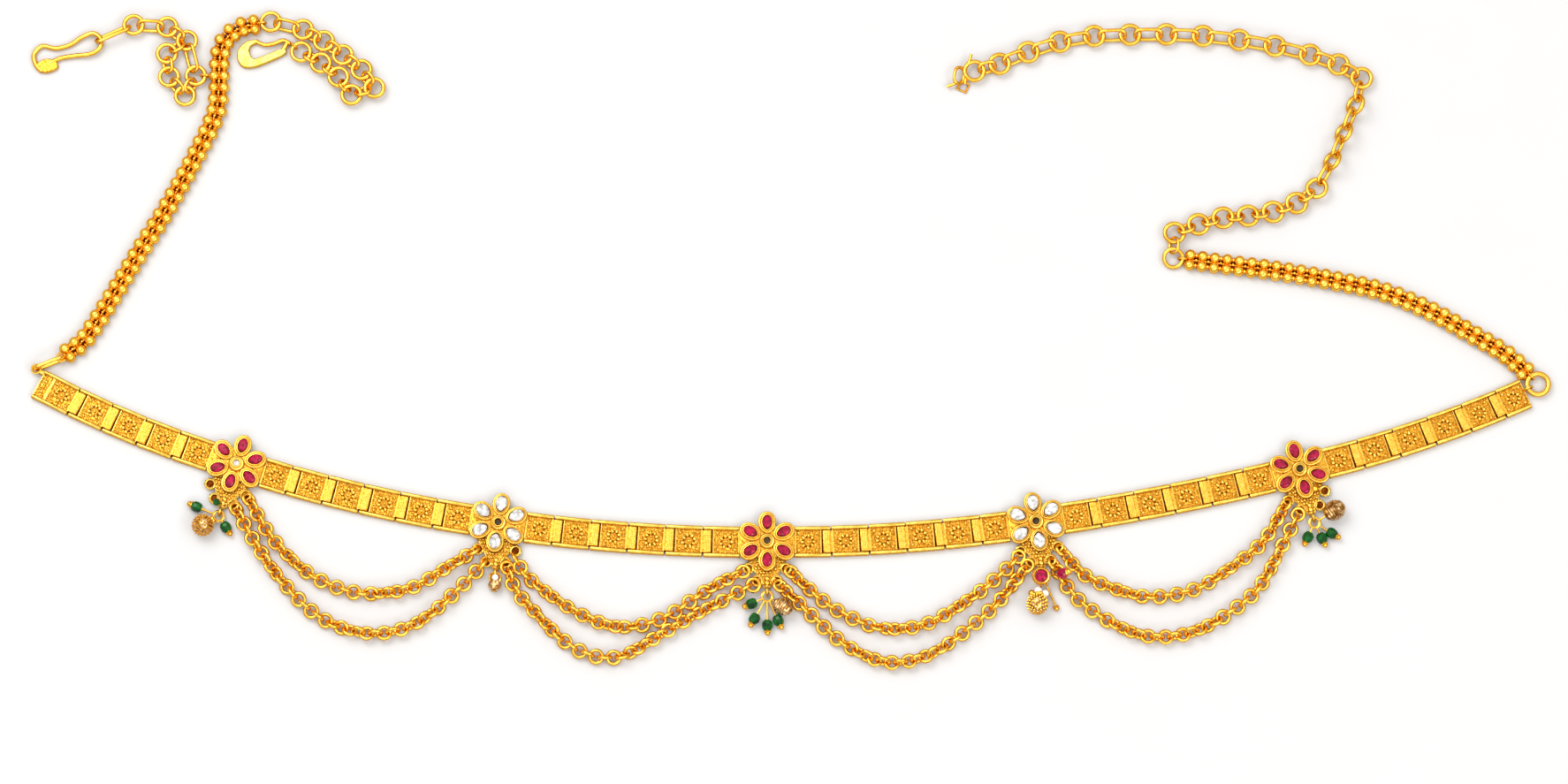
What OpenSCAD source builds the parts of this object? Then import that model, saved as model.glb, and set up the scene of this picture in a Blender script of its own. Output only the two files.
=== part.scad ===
// Waist belt: hinged cast panels and five stone flowers, with swag chains, drops,
// bead ropes and a back chain, laid flat on a table.
// Millimetres. +X runs along the belt, +Y towards the back chain, +Z up.
// The origin is on the table, under the middle flower.

/* [Band] */
// Width of the band across its two rails
band_w = 9.2; // [8.4:0.1:10]
// Length of one cast tile
tile_l = 7.8; // [7.4:0.1:8.2]
// Distance from one panel to the next
pitch = 11; // [10.8:0.05:11.3]
// Length of a flower carrier
carrier_l = 15.8; // [15:0.1:16.4]
// Height of the rolled rails
rail_h = 2; // [1.8:0.1:2.4]
// Width of one rolled rail
rail_w = 1.1; // [0.9:0.05:1.2]
// Radius of a hinge pin
pin_r = 0.35; // [0.3:0.01:0.38]
// Radius of the hole in a hinge tongue
bore_r = 0.5; // [0.48:0.01:0.55]

/* [Flowers] */
// Distance from the flower's centre to the tip of a petal
petal_out = 8.95; // [8.6:0.05:9.2]
// Length of one petal setting
petal_l = 6.35; // [6:0.05:6.4]
// Width of one petal setting
petal_w = 5.2; // [4.8:0.1:5.4]
// Radius of the round centre setting
centre_r = 1.95; // [1.8:0.05:2]
// Gap all round a stone in its setting
stone_gap = 0.12; // [0.1:0.01:0.15]

/* [Chains] */
// Radius of the wire of the back chain's rings
ring_wire = 0.475; // [0.45:0.005:0.48]
// Radius of a ring of the back chain, to the middle of its wire
ring_r = 3.15; // [3.12:0.01:3.16]
// Radius of a ring of the two short chains
small_ring_r = 2.85; // [2.8:0.01:2.86]
// Radius of the wire of the two short chains
small_wire = 0.45; // [0.42:0.01:0.46]
// Gap between a joining link and the rings in it
link_gap = 0.16; // [0.14:0.01:0.18]
// Thickness of a swag chain
swag_d = 3.4; // [3:0.1:3.6]

/* [Bead ropes] */
// Diameter of one ball
ball_d = 2.9; // [2.8:0.05:2.95]
// Distance between the two rows of balls
row_gap = 3.1; // [3.05:0.01:3.2]
// Radius of the core wire
core_r = 0.3; // [0.25:0.01:0.3]
// Radius of the hole through a pair of balls
core_bore_r = 0.42; // [0.4:0.01:0.45]

/* [Hidden] */
// Panels in each stretch, from the left end of the belt
BAND = [["a", 5], ["b", 6], ["c", 6], ["d", 6], ["e", 6], ["f", 6]];
SWAG_NAMES = [for (gap = [1 : 4], level = ["upper", "lower"]) str("swag_", gap, "_", level)];

gold = [0.93, 0.68, 0.16];
deep_gold = [0.86, 0.56, 0.1];
ruby = [0.75, 0.05, 0.3];
clear = [0.93, 0.94, 0.95];
green = [0.03, 0.3, 0.12];

// Hinges: the strip that joins two panels, the slot beside it and the gap to the next tile
strip_l = 2.4;
strip_gap = 0.3;
strip_w = 6.7;
fork_w = band_w - 2 * rail_w;
tongue_x = tile_l / 2 + strip_gap + strip_l / 2 + 0.15;
pin_x = pitch - tongue_x;
pin_z = 1;
rail_reach = pitch - tile_l / 2 - 0.75;
carrier_pin_x = carrier_l / 2 - 1.45;
tile_top = 1.35;
carrier_h = 2.25;
petal_z = 2.15;

// End plates of the band, and the eyes that stand on them, on the ropes and on the fans
half_tile_l = 3.8;
plate_end_x = tile_l / 2 + half_tile_l;
EYE_R = 1.25;
EYE_WIRE = 0.33;
EYE_Z = 1.6;
// Place of the flat eye on the left end plate, in the plate's own frame
LEFT_LUG = [plate_end_x + 2.6, 3.6];

// The band is walked outwards from the middle flower. One row per stretch:
// number of panels, heading of its first panel, heading of its last
RIGHT_STRETCHES = [[6, 1, 7.5], [6, 9.5, 13.5], [6, 15.5, 24]];
LEFT_STRETCHES = [[6, -1, -7], [6, -9.5, -16.5], [5, -19, -27]];
RIGHT_TURNS = [8.5, 14.5];
LEFT_TURNS = [-8.5, -17.5];

// One row per flower: stone, turn of the petals, turn of the fan
FLOWER_ROWS = [["ruby", -18, -18], ["clear", -9, -3], ["ruby", 0, 0], ["clear", 9.5, 7],
    ["ruby", 15, 15]];

// Swag routes, left to right, between the loops that they hang from: x, y
SWAG_Z = 1.9;
SWAG_ROUTES = [
    [[-151.9, 12.7], [-144.5, 0.5], [-134, -9.5], [-123.5, -14.5], [-113, -15.5], [-103, -13.5], [-92.5, -7],
        [-86, -2.9]],
    [[-155.6, 9.9], [-151, 1.5], [-144, -9], [-133.5, -20.5], [-123.5, -26], [-113, -27.5], [-102.5, -24.5],
        [-92.5, -16.5], [-83.4, -7.1]],
    [[-73.5, -5.5], [-69, -11.5], [-56, -21], [-43.5, -25.5], [-30.5, -23], [-17.5, -14.5], [-7, -9]],
    [[-76, -7.8], [-74, -13.5], [-69, -20], [-56, -32], [-43.5, -34.5], [-30.5, -27.5], [-17.5, -20],
        [-4, -13]],
    [[7, -9], [11, -13], [21, -21], [34, -26], [47, -24.5], [60, -16.5], [68, -10], [73.5, -4.5]],
    [[3.8, -13.2], [10, -19], [21, -29.5], [34, -36], [47, -34], [60, -25], [68, -17.5], [76.1, -7.2]],
    [[86.2, -2.6], [92, -9.5], [101, -14], [112, -16.5], [124.5, -14.5], [137.5, -6.5], [145.5, 0.5],
        [151.9, 11.1]],
    [[83.9, -6.7], [90, -16.5], [101, -24.5], [112, -28.5], [124.5, -27], [137.5, -19.5], [145.5, -11],
        [155.5, 8.2]]
];
SWAG_RINGS = 10;

// Bead rope routes from the chain end to the band end: x, y
ROPE_LEFT = [[-152.4, 157.6], [-155.8, 157], [-159.1, 155.1], [-161.5, 151.9], [-162.5, 147.5], [-162.6, 140],
    [-163, 132], [-165, 126], [-168, 119.5], [-172.3, 110.8], [-178, 100], [-184.5, 89], [-190.5, 78.5],
    [-196.5, 68], [-201.4, 60.5]];
ROPE_RIGHT = [[124.7, 85.3], [138, 83.6], [152, 81.7], [166, 79.2], [181, 75.8], [194.5, 70.2], [207, 63],
    [216.8, 57]];
ROPE_PAIR_STEP = 3.62;
EYE_OUT = 2.2;
// Pair of the left rope that carries the eye of the hook chain
EYE_PAIR = 6;
SIDE_EYE_OUT = 2.65;

// Back chain from its free tail to the rope: x, y, z, roll about the chain's own line
BACK_RINGS = [[61.4, 143.2, 2.1, 0], [68.9, 145.4, 2.1, 0], [77.4, 149, 2.1, 0], [86.8, 152.2, 2.1, 0],
    [97, 154, 2.1, 0], [107.7, 154.4, 2.1, 0], [118.5, 154.5, 2.1, 0], [129.3, 154, 2.1, 0],
    [140, 152.8, 2.1, 0], [150.6, 150.9, 2.1, 0], [161, 148.2, 2.1, 0], [169.4, 145.2, 2.1, 0],
    [176.2, 141, 2.2, 0], [174.2, 132.5, 3, 45], [170.6, 123.9, 3, 50], [167, 115.3, 3, 50],
    [162.4, 107.1, 2.3, 15], [156.4, 102.6, 2.1, 0], [149.4, 99.9, 2.1, 0], [142, 98.7, 2.1, 0],
    [134.6, 98.1, 2.1, 0], [127.3, 96.1, 2.1, 0], [120.2, 93.5, 2.1, 0]];
END_RING_R = 2.75;
END_RING_WIRE = 0.6;
END_RING_ROLL = 15;
BAND_RING_WIRE = 0.78;
TAIL_LINK = [57.5, 142.1, 2.1];
TAIL_LINK_R = 2;
TAIL_TIP = [53.9, 139.8, 1.2];

// Oblong ring between the band's left end and its rope. It stands on its edge
LEFT_RING_L = 8.4;
LEFT_RING_TURN = 22;
LEFT_RING_WIRE = 0.55;
LEFT_RING_Z = 2.5;

// Half the width of an oblong joining link
LINK_HALF_W = 2.1;

// The two short chains on the left: x, y, z, roll
HOOK_RINGS = [[-188.2, 157.4, 2.3, 0], [-178.2, 156.8, 2.1, 0], [-172.3, 152.6, 2.1, 0],
    [-178.2, 148.6, 2.1, 0], [-177.4, 141.4, 2.1, 0], [-172.6, 135.6, 2, 0]];
SIDE_RINGS = [[-137.9, 156, 2.1, 0], [-131.7, 152.5, 2.1, 0], [-126, 148.2, 2.1, 0], [-120.4, 143.6, 2.1, 0],
    [-116.5, 138, 2.1, 0], [-123.3, 135.9, 2.1, 0], [-127.2, 141.4, 2.1, 0], [-132.5, 145.7, 2.1, 0],
    [-138.4, 149.2, 1.8, 0]];

function turned(a, p) = [p[0] * cos(a) - p[1] * sin(a), p[0] * sin(a) + p[1] * cos(a)];
function unit(v) = v / norm(v);
function heading(a, b) = atan2(b[1] - a[1], b[0] - a[0]);
function flat(p, z) = [p[0], p[1], z];
function middle(row) = [row[0], row[1], row[2]];

// Panels and carriers of one side, inner hinge and outer hinge given from each one's centre
function parts_out(rows, turns) = [
    for (s = [0 : 2]) each concat(
        [for (i = [0 : rows[s][0] - 1]) let (last = i == rows[s][0] - 1)
            [s * 10 + i, rows[s][1] + (rows[s][2] - rows[s][1]) * i / (rows[s][0] - 1),
                tongue_x, last && s < 2 ? tongue_x : pin_x]],
        s < 2 ? [[s * 10 + 9, turns[s], carrier_pin_x, carrier_pin_x]] : [])
];
// Places of those parts: number, x, y, heading
function walk(side, parts, at, i = 0) = i == len(parts) ? [] :
    let (p = parts[i], ahead = side * [cos(p[1]), sin(p[1])], c = at + p[2] * ahead)
    concat([[p[0], c[0], c[1], p[1]]], walk(side, parts, c + p[3] * ahead, i + 1));
RIGHT_PLACES = walk(1, parts_out(RIGHT_STRETCHES, RIGHT_TURNS), [carrier_pin_x, 0]);
LEFT_PLACES = walk(-1, parts_out(LEFT_STRETCHES, LEFT_TURNS), [-carrier_pin_x, 0]);
function place(side, number) = [for (p = side > 0 ? RIGHT_PLACES : LEFT_PLACES) if (p[0] == number) p][0];
function flower_place(k) =
    k == 3 ? [0, 0, 0, 0] : k > 3 ? place(1, (k - 4) * 10 + 9) : place(-1, (2 - k) * 10 + 9);

// Smooth curve through a route's points
function bend(p, q, r, s, t) = 0.5 * (2 * q + (r - p) * t + (2 * p - 5 * q + 4 * r - s) * t * t
    + (3 * q - p - 3 * r + s) * t * t * t);
function smooth(route, steps = 8) = let (n = len(route)) [
    for (i = [0 : n - 2]) for (k = [0 : i == n - 2 ? steps : steps - 1])
        bend(route[max(i - 1, 0)], route[i], route[i + 1], route[min(i + 2, n - 1)], k / steps)
];
function lengths(p, i = 0, s = 0) = i == len(p) ? [] :
    concat([s], lengths(p, i + 1, s + (i < len(p) - 1 ? norm(p[i + 1] - p[i]) : 0)));
// Points at equal steps along a route
function spaced(route, count) = let (p = smooth(route), l = lengths(p), total = l[len(l) - 1])
    [for (k = [0 : count - 1]) [for (c = [0 : 2])
        lookup(total * k / (count - 1), [for (i = [0 : len(p) - 1]) [l[i], p[i][c]]])]];
function route_length(route) = let (l = lengths(smooth(route))) l[len(l) - 1];

// Skin over a row of outlines with the same number of points
module skin(rings, closed = false) {
    n = len(rings[0]);
    m = len(rings);
    sides = [for (i = [0 : closed ? m - 1 : m - 2]) for (k = [0 : n - 1])
        let (j = (i + 1) % m, l = (k + 1) % n)
        each [[i * n + k, i * n + l, j * n + l], [i * n + k, j * n + l, j * n + k]]];
    caps = closed ? [] : [[for (k = [0 : n - 1]) n - 1 - k], [for (k = [0 : n - 1]) (m - 1) * n + k]];
    polyhedron([for (r = rings) each r], concat(sides, caps));
}

function round_ring(c, ahead, r, sides) =
    let (across = unit(cross(ahead, [0, 0, 1])), up = cross(across, ahead))
    [for (k = [0 : sides - 1]) let (t = 360 * (k + 0.5) / sides) c + r * (cos(t) * across + sin(t) * up)];

// Wire along points
module wire(p, r, sides = 8, closed = false) {
    n = len(p);
    skin([for (i = [0 : n - 1])
        let (a = closed ? p[(i + n - 1) % n] : p[max(i - 1, 0)])
        let (b = closed ? p[(i + 1) % n] : p[min(i + 1, n - 1)])
        round_ring(p[i], unit(b - a), r, sides)], closed);
}

// Drop-shaped outline: the point lies towards -x, the round end towards +x
function drop_outline(l, w, n, soft = 0.7) =
    let (c2 = 1 / (2 + soft), top = 2 * sqrt(c2) * pow(1 - c2, (soft + 1) / 2))
    [for (k = [0 : n - 1]) let (t = 360 * k / n)
        [-l / 2 * cos(t), w / 2 * sin(t) * pow(abs(sin(t / 2)), soft) / top]];
function oval_outline(l, w, n) =
    [for (k = [0 : n - 1]) let (t = -360 * k / n) [l / 2 * cos(t), w / 2 * sin(t)]];
function outline_ring(outline, size, z) = [for (p = outline) [p[0] * size, p[1] * size, z]];

// Ring of round wire, flat on its own plane
module wire_ring(r, wire_r) {
    rotate_extrude($fn = 32) translate([r, 0]) circle(wire_r, $fn = 16);
}

// Cast tile with its border, granules and rosette
module tile() {
    difference() {
        translate([-tile_l / 2, -band_w / 2 + 0.2, 0.1]) cube([tile_l, band_w - 0.4, tile_top + 0.2]);
        translate([-tile_l / 2 + 0.7, -fork_w / 2 + 0.55, tile_top]) cube([tile_l - 1.4, fork_w - 1.1, 1]);
    }
    translate([0, 0, tile_top]) sphere(0.5, $fn = 20);
    for (k = [0 : 7])
        rotate(45 * k + 22.5) translate([1.5, 0, tile_top - 0.05]) sphere(0.48, $fn = 20);
    for (sx = [-1, 1], sy = [-1, 1])
        translate([sx * 2.5, sy * 2.3, tile_top - 0.1]) sphere(0.42, $fn = 20);
}

// Rolled rail along +x
module rail(from, to) {
    for (s = [-1, 1]) {
        translate([from, s > 0 ? band_w / 2 - rail_w : -band_w / 2, 0])
            cube([to - from, rail_w, rail_h - rail_w / 2]);
        translate([from, s * (band_w / 2 - rail_w / 2), rail_h - rail_w / 2]) rotate([0, 90, 0])
            cylinder(h = to - from, r = rail_w / 2 + 0.03, $fn = 24);
    }
}

// Flat hinge strip with its neck, reaching towards -x
module tongue() {
    difference() {
        union() {
            translate([-tongue_x - strip_l / 2 - 0.05, -strip_w / 2, 0.2]) cube([strip_l, strip_w, 1.6]);
            translate([-tile_l / 2 - strip_gap - 0.4, -strip_w / 2 + 0.6, 0.5])
                cube([strip_gap + 0.8, strip_w - 1.2, 0.8]);
        }
        translate([-tongue_x, -strip_w / 2 - 1, pin_z]) rotate([-90, 0, 0])
            cylinder(h = strip_w + 2, r = bore_r, $fn = 24);
    }
}

module cross_pin(x) {
    translate([x, -fork_w / 2 - 0.3, pin_z]) rotate([-90, 0, 0])
        cylinder(h = fork_w + 0.6, r = pin_r, $fn = 24);
}

module eye() {
    wire_ring(EYE_R, EYE_WIRE);
}

// Standing eye soldered to an end plate or a fan, at the end of it that faces +x
module lug(x, y) {
    translate([x, y, EYE_Z]) rotate([90, 0, 0]) eye();
}

// Panel with its tongue towards the middle flower. ending is "fork", "tongue", "ring" or "plate"
module panel(ending) {
    tile();
    tongue();
    if (ending == "fork") {
        rail(-tile_l / 2, rail_reach);
        cross_pin(pin_x);
    }
    if (ending == "tongue") {
        rail(-tile_l / 2, tile_l / 2);
        mirror([1, 0, 0]) tongue();
    }
    if (ending == "ring") {
        rail(-tile_l / 2, tile_l / 2);
        lug(tile_l / 2 + EYE_R, 1);
    }
    if (ending == "plate") {
        rail(-tile_l / 2, tile_l / 2 + half_tile_l);
        translate([tile_l / 2 - 0.2, -band_w / 2 + 0.3, 0.1]) cube([half_tile_l + 0.1, band_w - 0.6, 1.4]);
        for (k = [-1 : 1])
            translate([tile_l / 2 + half_tile_l / 2, 1.5 * k, tile_top + 0.05]) sphere(0.5, $fn = 20);
        translate([plate_end_x - 0.3, -band_w / 2 + 0.9, 0.2]) cube([1.4, 3, 1]);
        translate([LEFT_LUG[0], LEFT_LUG[1], EYE_Z]) eye();
        translate([plate_end_x - 0.3, LEFT_LUG[1] - 0.6, 0.3]) cube([1.8, 1.2, 1.4]);
    }
}

module placed(side, number) {
    p = place(side, number);
    translate([p[1], p[2], 0]) rotate(p[3]) mirror([side > 0 ? 0 : 1, 0, 0]) children();
}

module petals() {
    for (k = [0 : 5]) rotate(30 + 60 * k) translate([petal_out - petal_l / 2, 0, 0]) children();
}

ruby_outline = drop_outline(3.5, 2.4, 12, 0.45);
clear_outline = drop_outline(4, 3, 12, 0.45);
function stone_outline(kind) = kind == "ruby" ? ruby_outline : clear_outline;
function grown(outline, by) = [for (p = outline) p * (1 + by / norm(p))];
stone_seat = 2.7;
setting_top = 3.4;

// One petal setting, its point towards the flower's centre
module petal_setting(kind) {
    stone = stone_outline(kind);
    difference() {
        union() {
            translate([0, 0, petal_z]) linear_extrude(0.8) polygon(drop_outline(petal_l, petal_w, 20));
            translate([0.1, 0, petal_z]) linear_extrude(setting_top - petal_z)
                polygon(grown(stone, kind == "ruby" ? 0.42 : 0.5));
        }
        translate([0.1, 0, stone_seat]) linear_extrude(2) polygon(grown(stone, stone_gap));
    }
}

// Cut stone: pavilion, girdle, crown and table
module cut_stone(outline, base, top) {
    rise = top - base;
    skin([outline_ring(outline, 0.35, base), outline_ring(outline, 0.98, base + 0.42 * rise),
        outline_ring(outline, 1, base + 0.55 * rise), outline_ring(outline, 0.6, top)]);
}

// Carrier plate with a fork and a hidden pin at each end
module carrier() {
    difference() {
        translate([-carrier_l / 2, -band_w / 2, 0]) cube([carrier_l, band_w, carrier_h]);
        for (s = [-1, 1])
            translate([s > 0 ? carrier_l / 2 - 3.2 : -carrier_l / 2 - 1, -fork_w / 2, -1])
                cube([4.2, fork_w, 2.85]);
    }
    for (s = [-1, 1]) cross_pin(s * carrier_pin_x);
}

FAN_LOOPS = [[-5.5, -7.9], [5.5, -7.9], [-2.9, -11.6], [2.9, -11.6]];
// Middle of the eye at the fan's tip, from the flower's centre
FAN_EYE = 14.9;

// Three-cornered plate with its loops
module fan() {
    difference() {
        union() {
            translate([0, 0, 0.2]) linear_extrude(1.1)
                polygon([[-6.2, -4.2], [-0.7, -13.8], [0.7, -13.8], [6.2, -4.2]]);
            for (p = FAN_LOOPS) translate([p[0], p[1], 0.2]) cylinder(h = 1.1, r = 1.5, $fn = 24);
        }
        for (p = FAN_LOOPS) translate([p[0], p[1], -1]) cylinder(h = 4, r = 0.8, $fn = 24);
    }
    for (r = [0 : 2]) for (k = [0 : 2 - r])
        translate([(k - (2 - r) / 2) * 1.9, -8.4 - 1.7 * r, 1.25]) sphere(0.5, $fn = 20);
    rotate(-90) lug(FAN_EYE, 0);
    translate([-0.6, -13.9, 0.2]) cube([1.2, 0.8, 1.9]);
}

module flower(k) {
    row = FLOWER_ROWS[k - 1];
    p = flower_place(k);
    color(gold) translate([p[1], p[2], 0]) {
        rotate(p[3]) carrier();
        rotate(row[2]) fan();
        rotate(row[1]) petals() petal_setting(row[0]);
        difference() {
            translate([0, 0, 1.9]) cylinder(h = setting_top - 1.7, r = centre_r, $fn = 32);
            translate([0, 0, stone_seat]) cylinder(h = 3, r = 1.05 + stone_gap, $fn = 32);
        }
    }
}

module petal_stones(kind) {
    for (k = [1 : 5]) if (FLOWER_ROWS[k - 1][0] == kind) {
        p = flower_place(k);
        translate([p[1], p[2], 0]) rotate(FLOWER_ROWS[k - 1][1]) petals() translate([0.1, 0, 0])
            cut_stone(stone_outline(kind), stone_seat + 0.1, setting_top + 0.25);
    }
}

module centre_stones() {
    for (k = [1 : 5]) {
        p = flower_place(k);
        translate([p[1], p[2], 0])
            cut_stone(oval_outline(2.1, 2.1, 12), stone_seat + 0.1, setting_top + 0.35);
    }
}

// Strand of a swag: the tube that its links fill
module swag(number) {
    color(gold) wire(spaced([for (p = SWAG_ROUTES[number]) flat(p, SWAG_Z)], SWAG_RINGS), swag_d / 2);
}

// Places of the pairs of balls along a rope. Two pairs are soldered into one group of four
function pair_places(route) = spaced(route, 2 * round((route_length(route) / ROPE_PAIR_STEP + 1) / 2));
function pair_turn(p, i) = heading(p[max(i - 1, 0)], p[min(i + 1, len(p) - 1)]);

module ball_pair() {
    for (s = [-1, 1]) translate([0, s * row_gap / 2, 0]) sphere(ball_d / 2, $fn = 24);
    translate([0, -row_gap / 2, 0]) rotate([-90, 0, 0]) cylinder(h = row_gap, r = 0.8, $fn = 24);
}

// Round rod between two points
module rod(from, to, r) {
    v = to - from;
    translate(from) rotate([0, acos(v[2] / norm(v)), atan2(v[1], v[0])])
        cylinder(h = norm(v), r = r, $fn = 24);
}

// Rope along a route, in groups of four balls, with a loop at each end. The last loop stands or lies flat
module rope(route, end_tilt) {
    p = pair_places(route);
    last = len(p) - 1;
    for (g = [0 : 2 : last]) {
        ahead = unit(p[g + 1] - p[g]);
        difference() {
            union() {
                for (i = [g, g + 1]) translate(p[i]) rotate(pair_turn(p, i)) {
                    ball_pair();
                    if (i == 0) translate([-EYE_OUT, 0, 0]) rotate([90, 0, 0]) eye();
                    if (i == last) translate([EYE_OUT, 0, 0]) rotate([end_tilt, 0, 0]) eye();
                }
                rod(p[g], p[g + 1], 0.62);
            }
            rod(p[g] - (g == 0 ? 0.3 : 1.7) * ahead, p[g + 1] + (g + 1 == last ? 0.3 : 1.7) * ahead,
                core_bore_r);
        }
    }
}

// The core wire runs straight through each group and bends between the groups
module core(route) {
    p = pair_places(route);
    last = len(p) - 1;
    wire([for (g = [0 : 2 : last]) let (ahead = unit(p[g + 1] - p[g]))
        each [p[g] - (g == 0 ? 0 : 0.95) * ahead, p[g + 1] + (g + 1 == last ? 0 : 0.95) * ahead]],
        core_r, 6);
}

// The flat ring at the band's right end, and the rope's last pair beside it
right_end = place(1, 25);
right_lug = [right_end[1], right_end[2]] + turned(right_end[3], [tile_l / 2 + EYE_R, 1]);
right_ring = right_lug + turned(right_end[3], [ring_r, 0]);
rope_right_end = right_ring + (ring_r + EYE_OUT) * [cos(133), sin(133)];
// The oblong ring at the band's left end, between the plate's eye and the rope's loop
left_end = place(-1, 24);
left_lug = [left_end[1], left_end[2]] + turned(left_end[3], [-LEFT_LUG[0], LEFT_LUG[1]]);
left_loop = left_lug + LEFT_RING_L * [cos(LEFT_RING_TURN), sin(LEFT_RING_TURN)];
rope_left_end = left_loop + EYE_OUT * [cos(52), sin(52)];
rope_left_route = [for (p = concat(ROPE_LEFT, [rope_left_end])) flat(p, EYE_Z)];
rope_right_route = [for (p = concat(ROPE_RIGHT, [rope_right_end])) flat(p, EYE_Z)];
// Middles of the rings that hang in the loops and the eye of the left rope
left_pairs = pair_places(rope_left_route);
first_side_ring = left_pairs[0] + flat(turned(pair_turn(left_pairs, 0), [-EYE_OUT - small_ring_r, 0]), 0.2);
last_hook_ring = left_pairs[EYE_PAIR]
    + flat(turned(pair_turn(left_pairs, EYE_PAIR), [0, -row_gap / 2 - SIDE_EYE_OUT - small_ring_r]), 0.2);
end_ring = [ROPE_RIGHT[0][0], ROPE_RIGHT[0][1], EYE_Z]
    + flat(turned(heading(ROPE_RIGHT[0], ROPE_RIGHT[1]), [-EYE_OUT - END_RING_R, 0]), 0);
// Where the back chain's last link holds that ring
end_ring_top = end_ring + END_RING_R * [0, cos(END_RING_ROLL) - 1, sin(END_RING_ROLL)];

// Rounded oblong outline of a link, a long and b wide from its middle
function link_outline(a, b, n) = [for (k = [0 : n - 1]) let (t = 360 * (k + 0.5) / n, c = cos(t), s = sin(t))
    [sign(c) * (a - b + b * pow(abs(c), 0.85)), b * sign(s) * pow(abs(s), 0.85), 0]];

// Link between two rings, each given by its middle, radius and wire. It is round when the rings are
// near and oblong when they are apart, and it leans as far as the table asks
module joining_link(p, rp, wp, q, rq, wq, link_wire, roll = 0) {
    d = norm(q - p);
    half_span = (d - (rp - wp) - (rq - wq)) / 2;
    snug = half_span + link_wire + link_gap;
    near = snug < 2;
    a = near ? snug : snug + 0.1;
    c = p + (rp - wp + half_span) / d * (q - p);
    reach = c[2] - link_wire - 0.03;
    upright = reach >= a ? 90 : asin(reach / a);
    lean = near ? upright + 0.4 * roll : roll > 20 ? -70 : min(45, asin(min(1, reach / LINK_HALF_W)));
    translate(c) rotate(heading(p, q)) rotate([0, -asin((q - p)[2] / d), 0]) rotate([lean, 0, 0])
        if (near) wire_ring(a, link_wire);
        else wire(link_outline(a, LINK_HALF_W, 14), link_wire, 6, true);
}

// Rings along a table of places, each held to the next
module ring_chain(rows, r, wire_r) {
    n = len(rows);
    for (i = [0 : n - 1])
        translate(middle(rows[i])) rotate(heading(rows[max(i - 1, 0)], rows[min(i + 1, n - 1)]))
            rotate([rows[i][3], 0, 0]) wire_ring(r, wire_r);
    for (i = [0 : n - 2])
        joining_link(middle(rows[i]), r, wire_r, middle(rows[i + 1]), r, wire_r, wire_r,
            (rows[i][3] + rows[i + 1][3]) / 2);
}

module back_chain() {
    last = middle(BACK_RINGS[len(BACK_RINGS) - 1]);
    color(gold) {
        ring_chain(BACK_RINGS, ring_r, ring_wire);
        joining_link(last, ring_r, ring_wire, end_ring_top, END_RING_R, END_RING_WIRE, 0.44);
        turn = heading(TAIL_LINK, BACK_RINGS[0]);
        translate(TAIL_LINK) rotate(turn) rotate([50, 0, 0]) wire_ring(TAIL_LINK_R, ring_wire);
        rod(TAIL_LINK - flat(turned(turn, [TAIL_LINK_R, 0]), 0), TAIL_TIP, 0.4);
        translate(TAIL_TIP) sphere(0.7, $fn = 24);
    }
}

// Bent wire of the hook: x, y, z
HOOK_WIRE = [[-213.5, 145.5, 0.9], [-210, 147.4, 0.9], [-205.5, 148.2, 1], [-201, 148.6, 1.5],
    [-198.3, 150.2, 1.75], [-197.8, 153, 1.75], [-200.2, 155, 1.6], [-203.6, 153.9, 1.1],
    [-207, 151.6, 0.9], [-211.3, 150.5, 0.9], [-215.3, 151.2, 0.9], [-217.7, 148.6, 0.9],
    [-217, 145.3, 0.9], [-215.2, 143.4, 0.9]];
HOOK_WIRE_R = 0.7;
HOOK_LEAF = [[-217.6, 145.2], [-214.6, 142.9], [-210.6, 144.3], [-211.2, 146.6], [-214.4, 147.2]];
// Middle of the bend that the hook's first link holds, and its radius
HOOK_BEND = [-200.5, 151.8, 1.75];
HOOK_BEND_R = 2.9;

module wire_hook() {
    color(gold) {
        wire(smooth(HOOK_WIRE, 3), HOOK_WIRE_R, 8);
        translate([0, 0, 0.2]) linear_extrude(1.3) polygon(HOOK_LEAF);
    }
}

FLAT_HOOK = [[-151.3, 153.2], [-154.5, 152.6], [-157, 150.2], [-157.3, 147.2], [-155.8, 144.8],
    [-152.8, 144.5], [-149.4, 145.6], [-143.2, 148.6], [-143.9, 150.4], [-150, 147.9], [-152.4, 147.2],
    [-153.7, 149], [-153.4, 151], [-151.3, 152.2]];
FLAT_HOOK_WIRE = [[-152, 152.7], [-149.4, 151.5], [-146.4, 151.9], [-143.8, 152.9], [-141.6, 151.8]];
FLAT_HOOK_EYE = [-140.6, 151.05];

module flat_hook() {
    color(gold) {
        translate([0, 0, 0.3]) linear_extrude(1.4) polygon(FLAT_HOOK);
        wire(smooth([for (p = FLAT_HOOK_WIRE) flat(p, 1.2)], 3), 0.6, 8);
        rod([-144, 149.6, 1.2], [-142.6, 152.1, 1.2], 0.5);
        translate(flat(FLAT_HOOK_EYE, EYE_Z)) rotate(heading(FLAT_HOOK_EYE, SIDE_RINGS[8]))
            rotate([90, 0, 0]) eye();
    }
}

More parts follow.
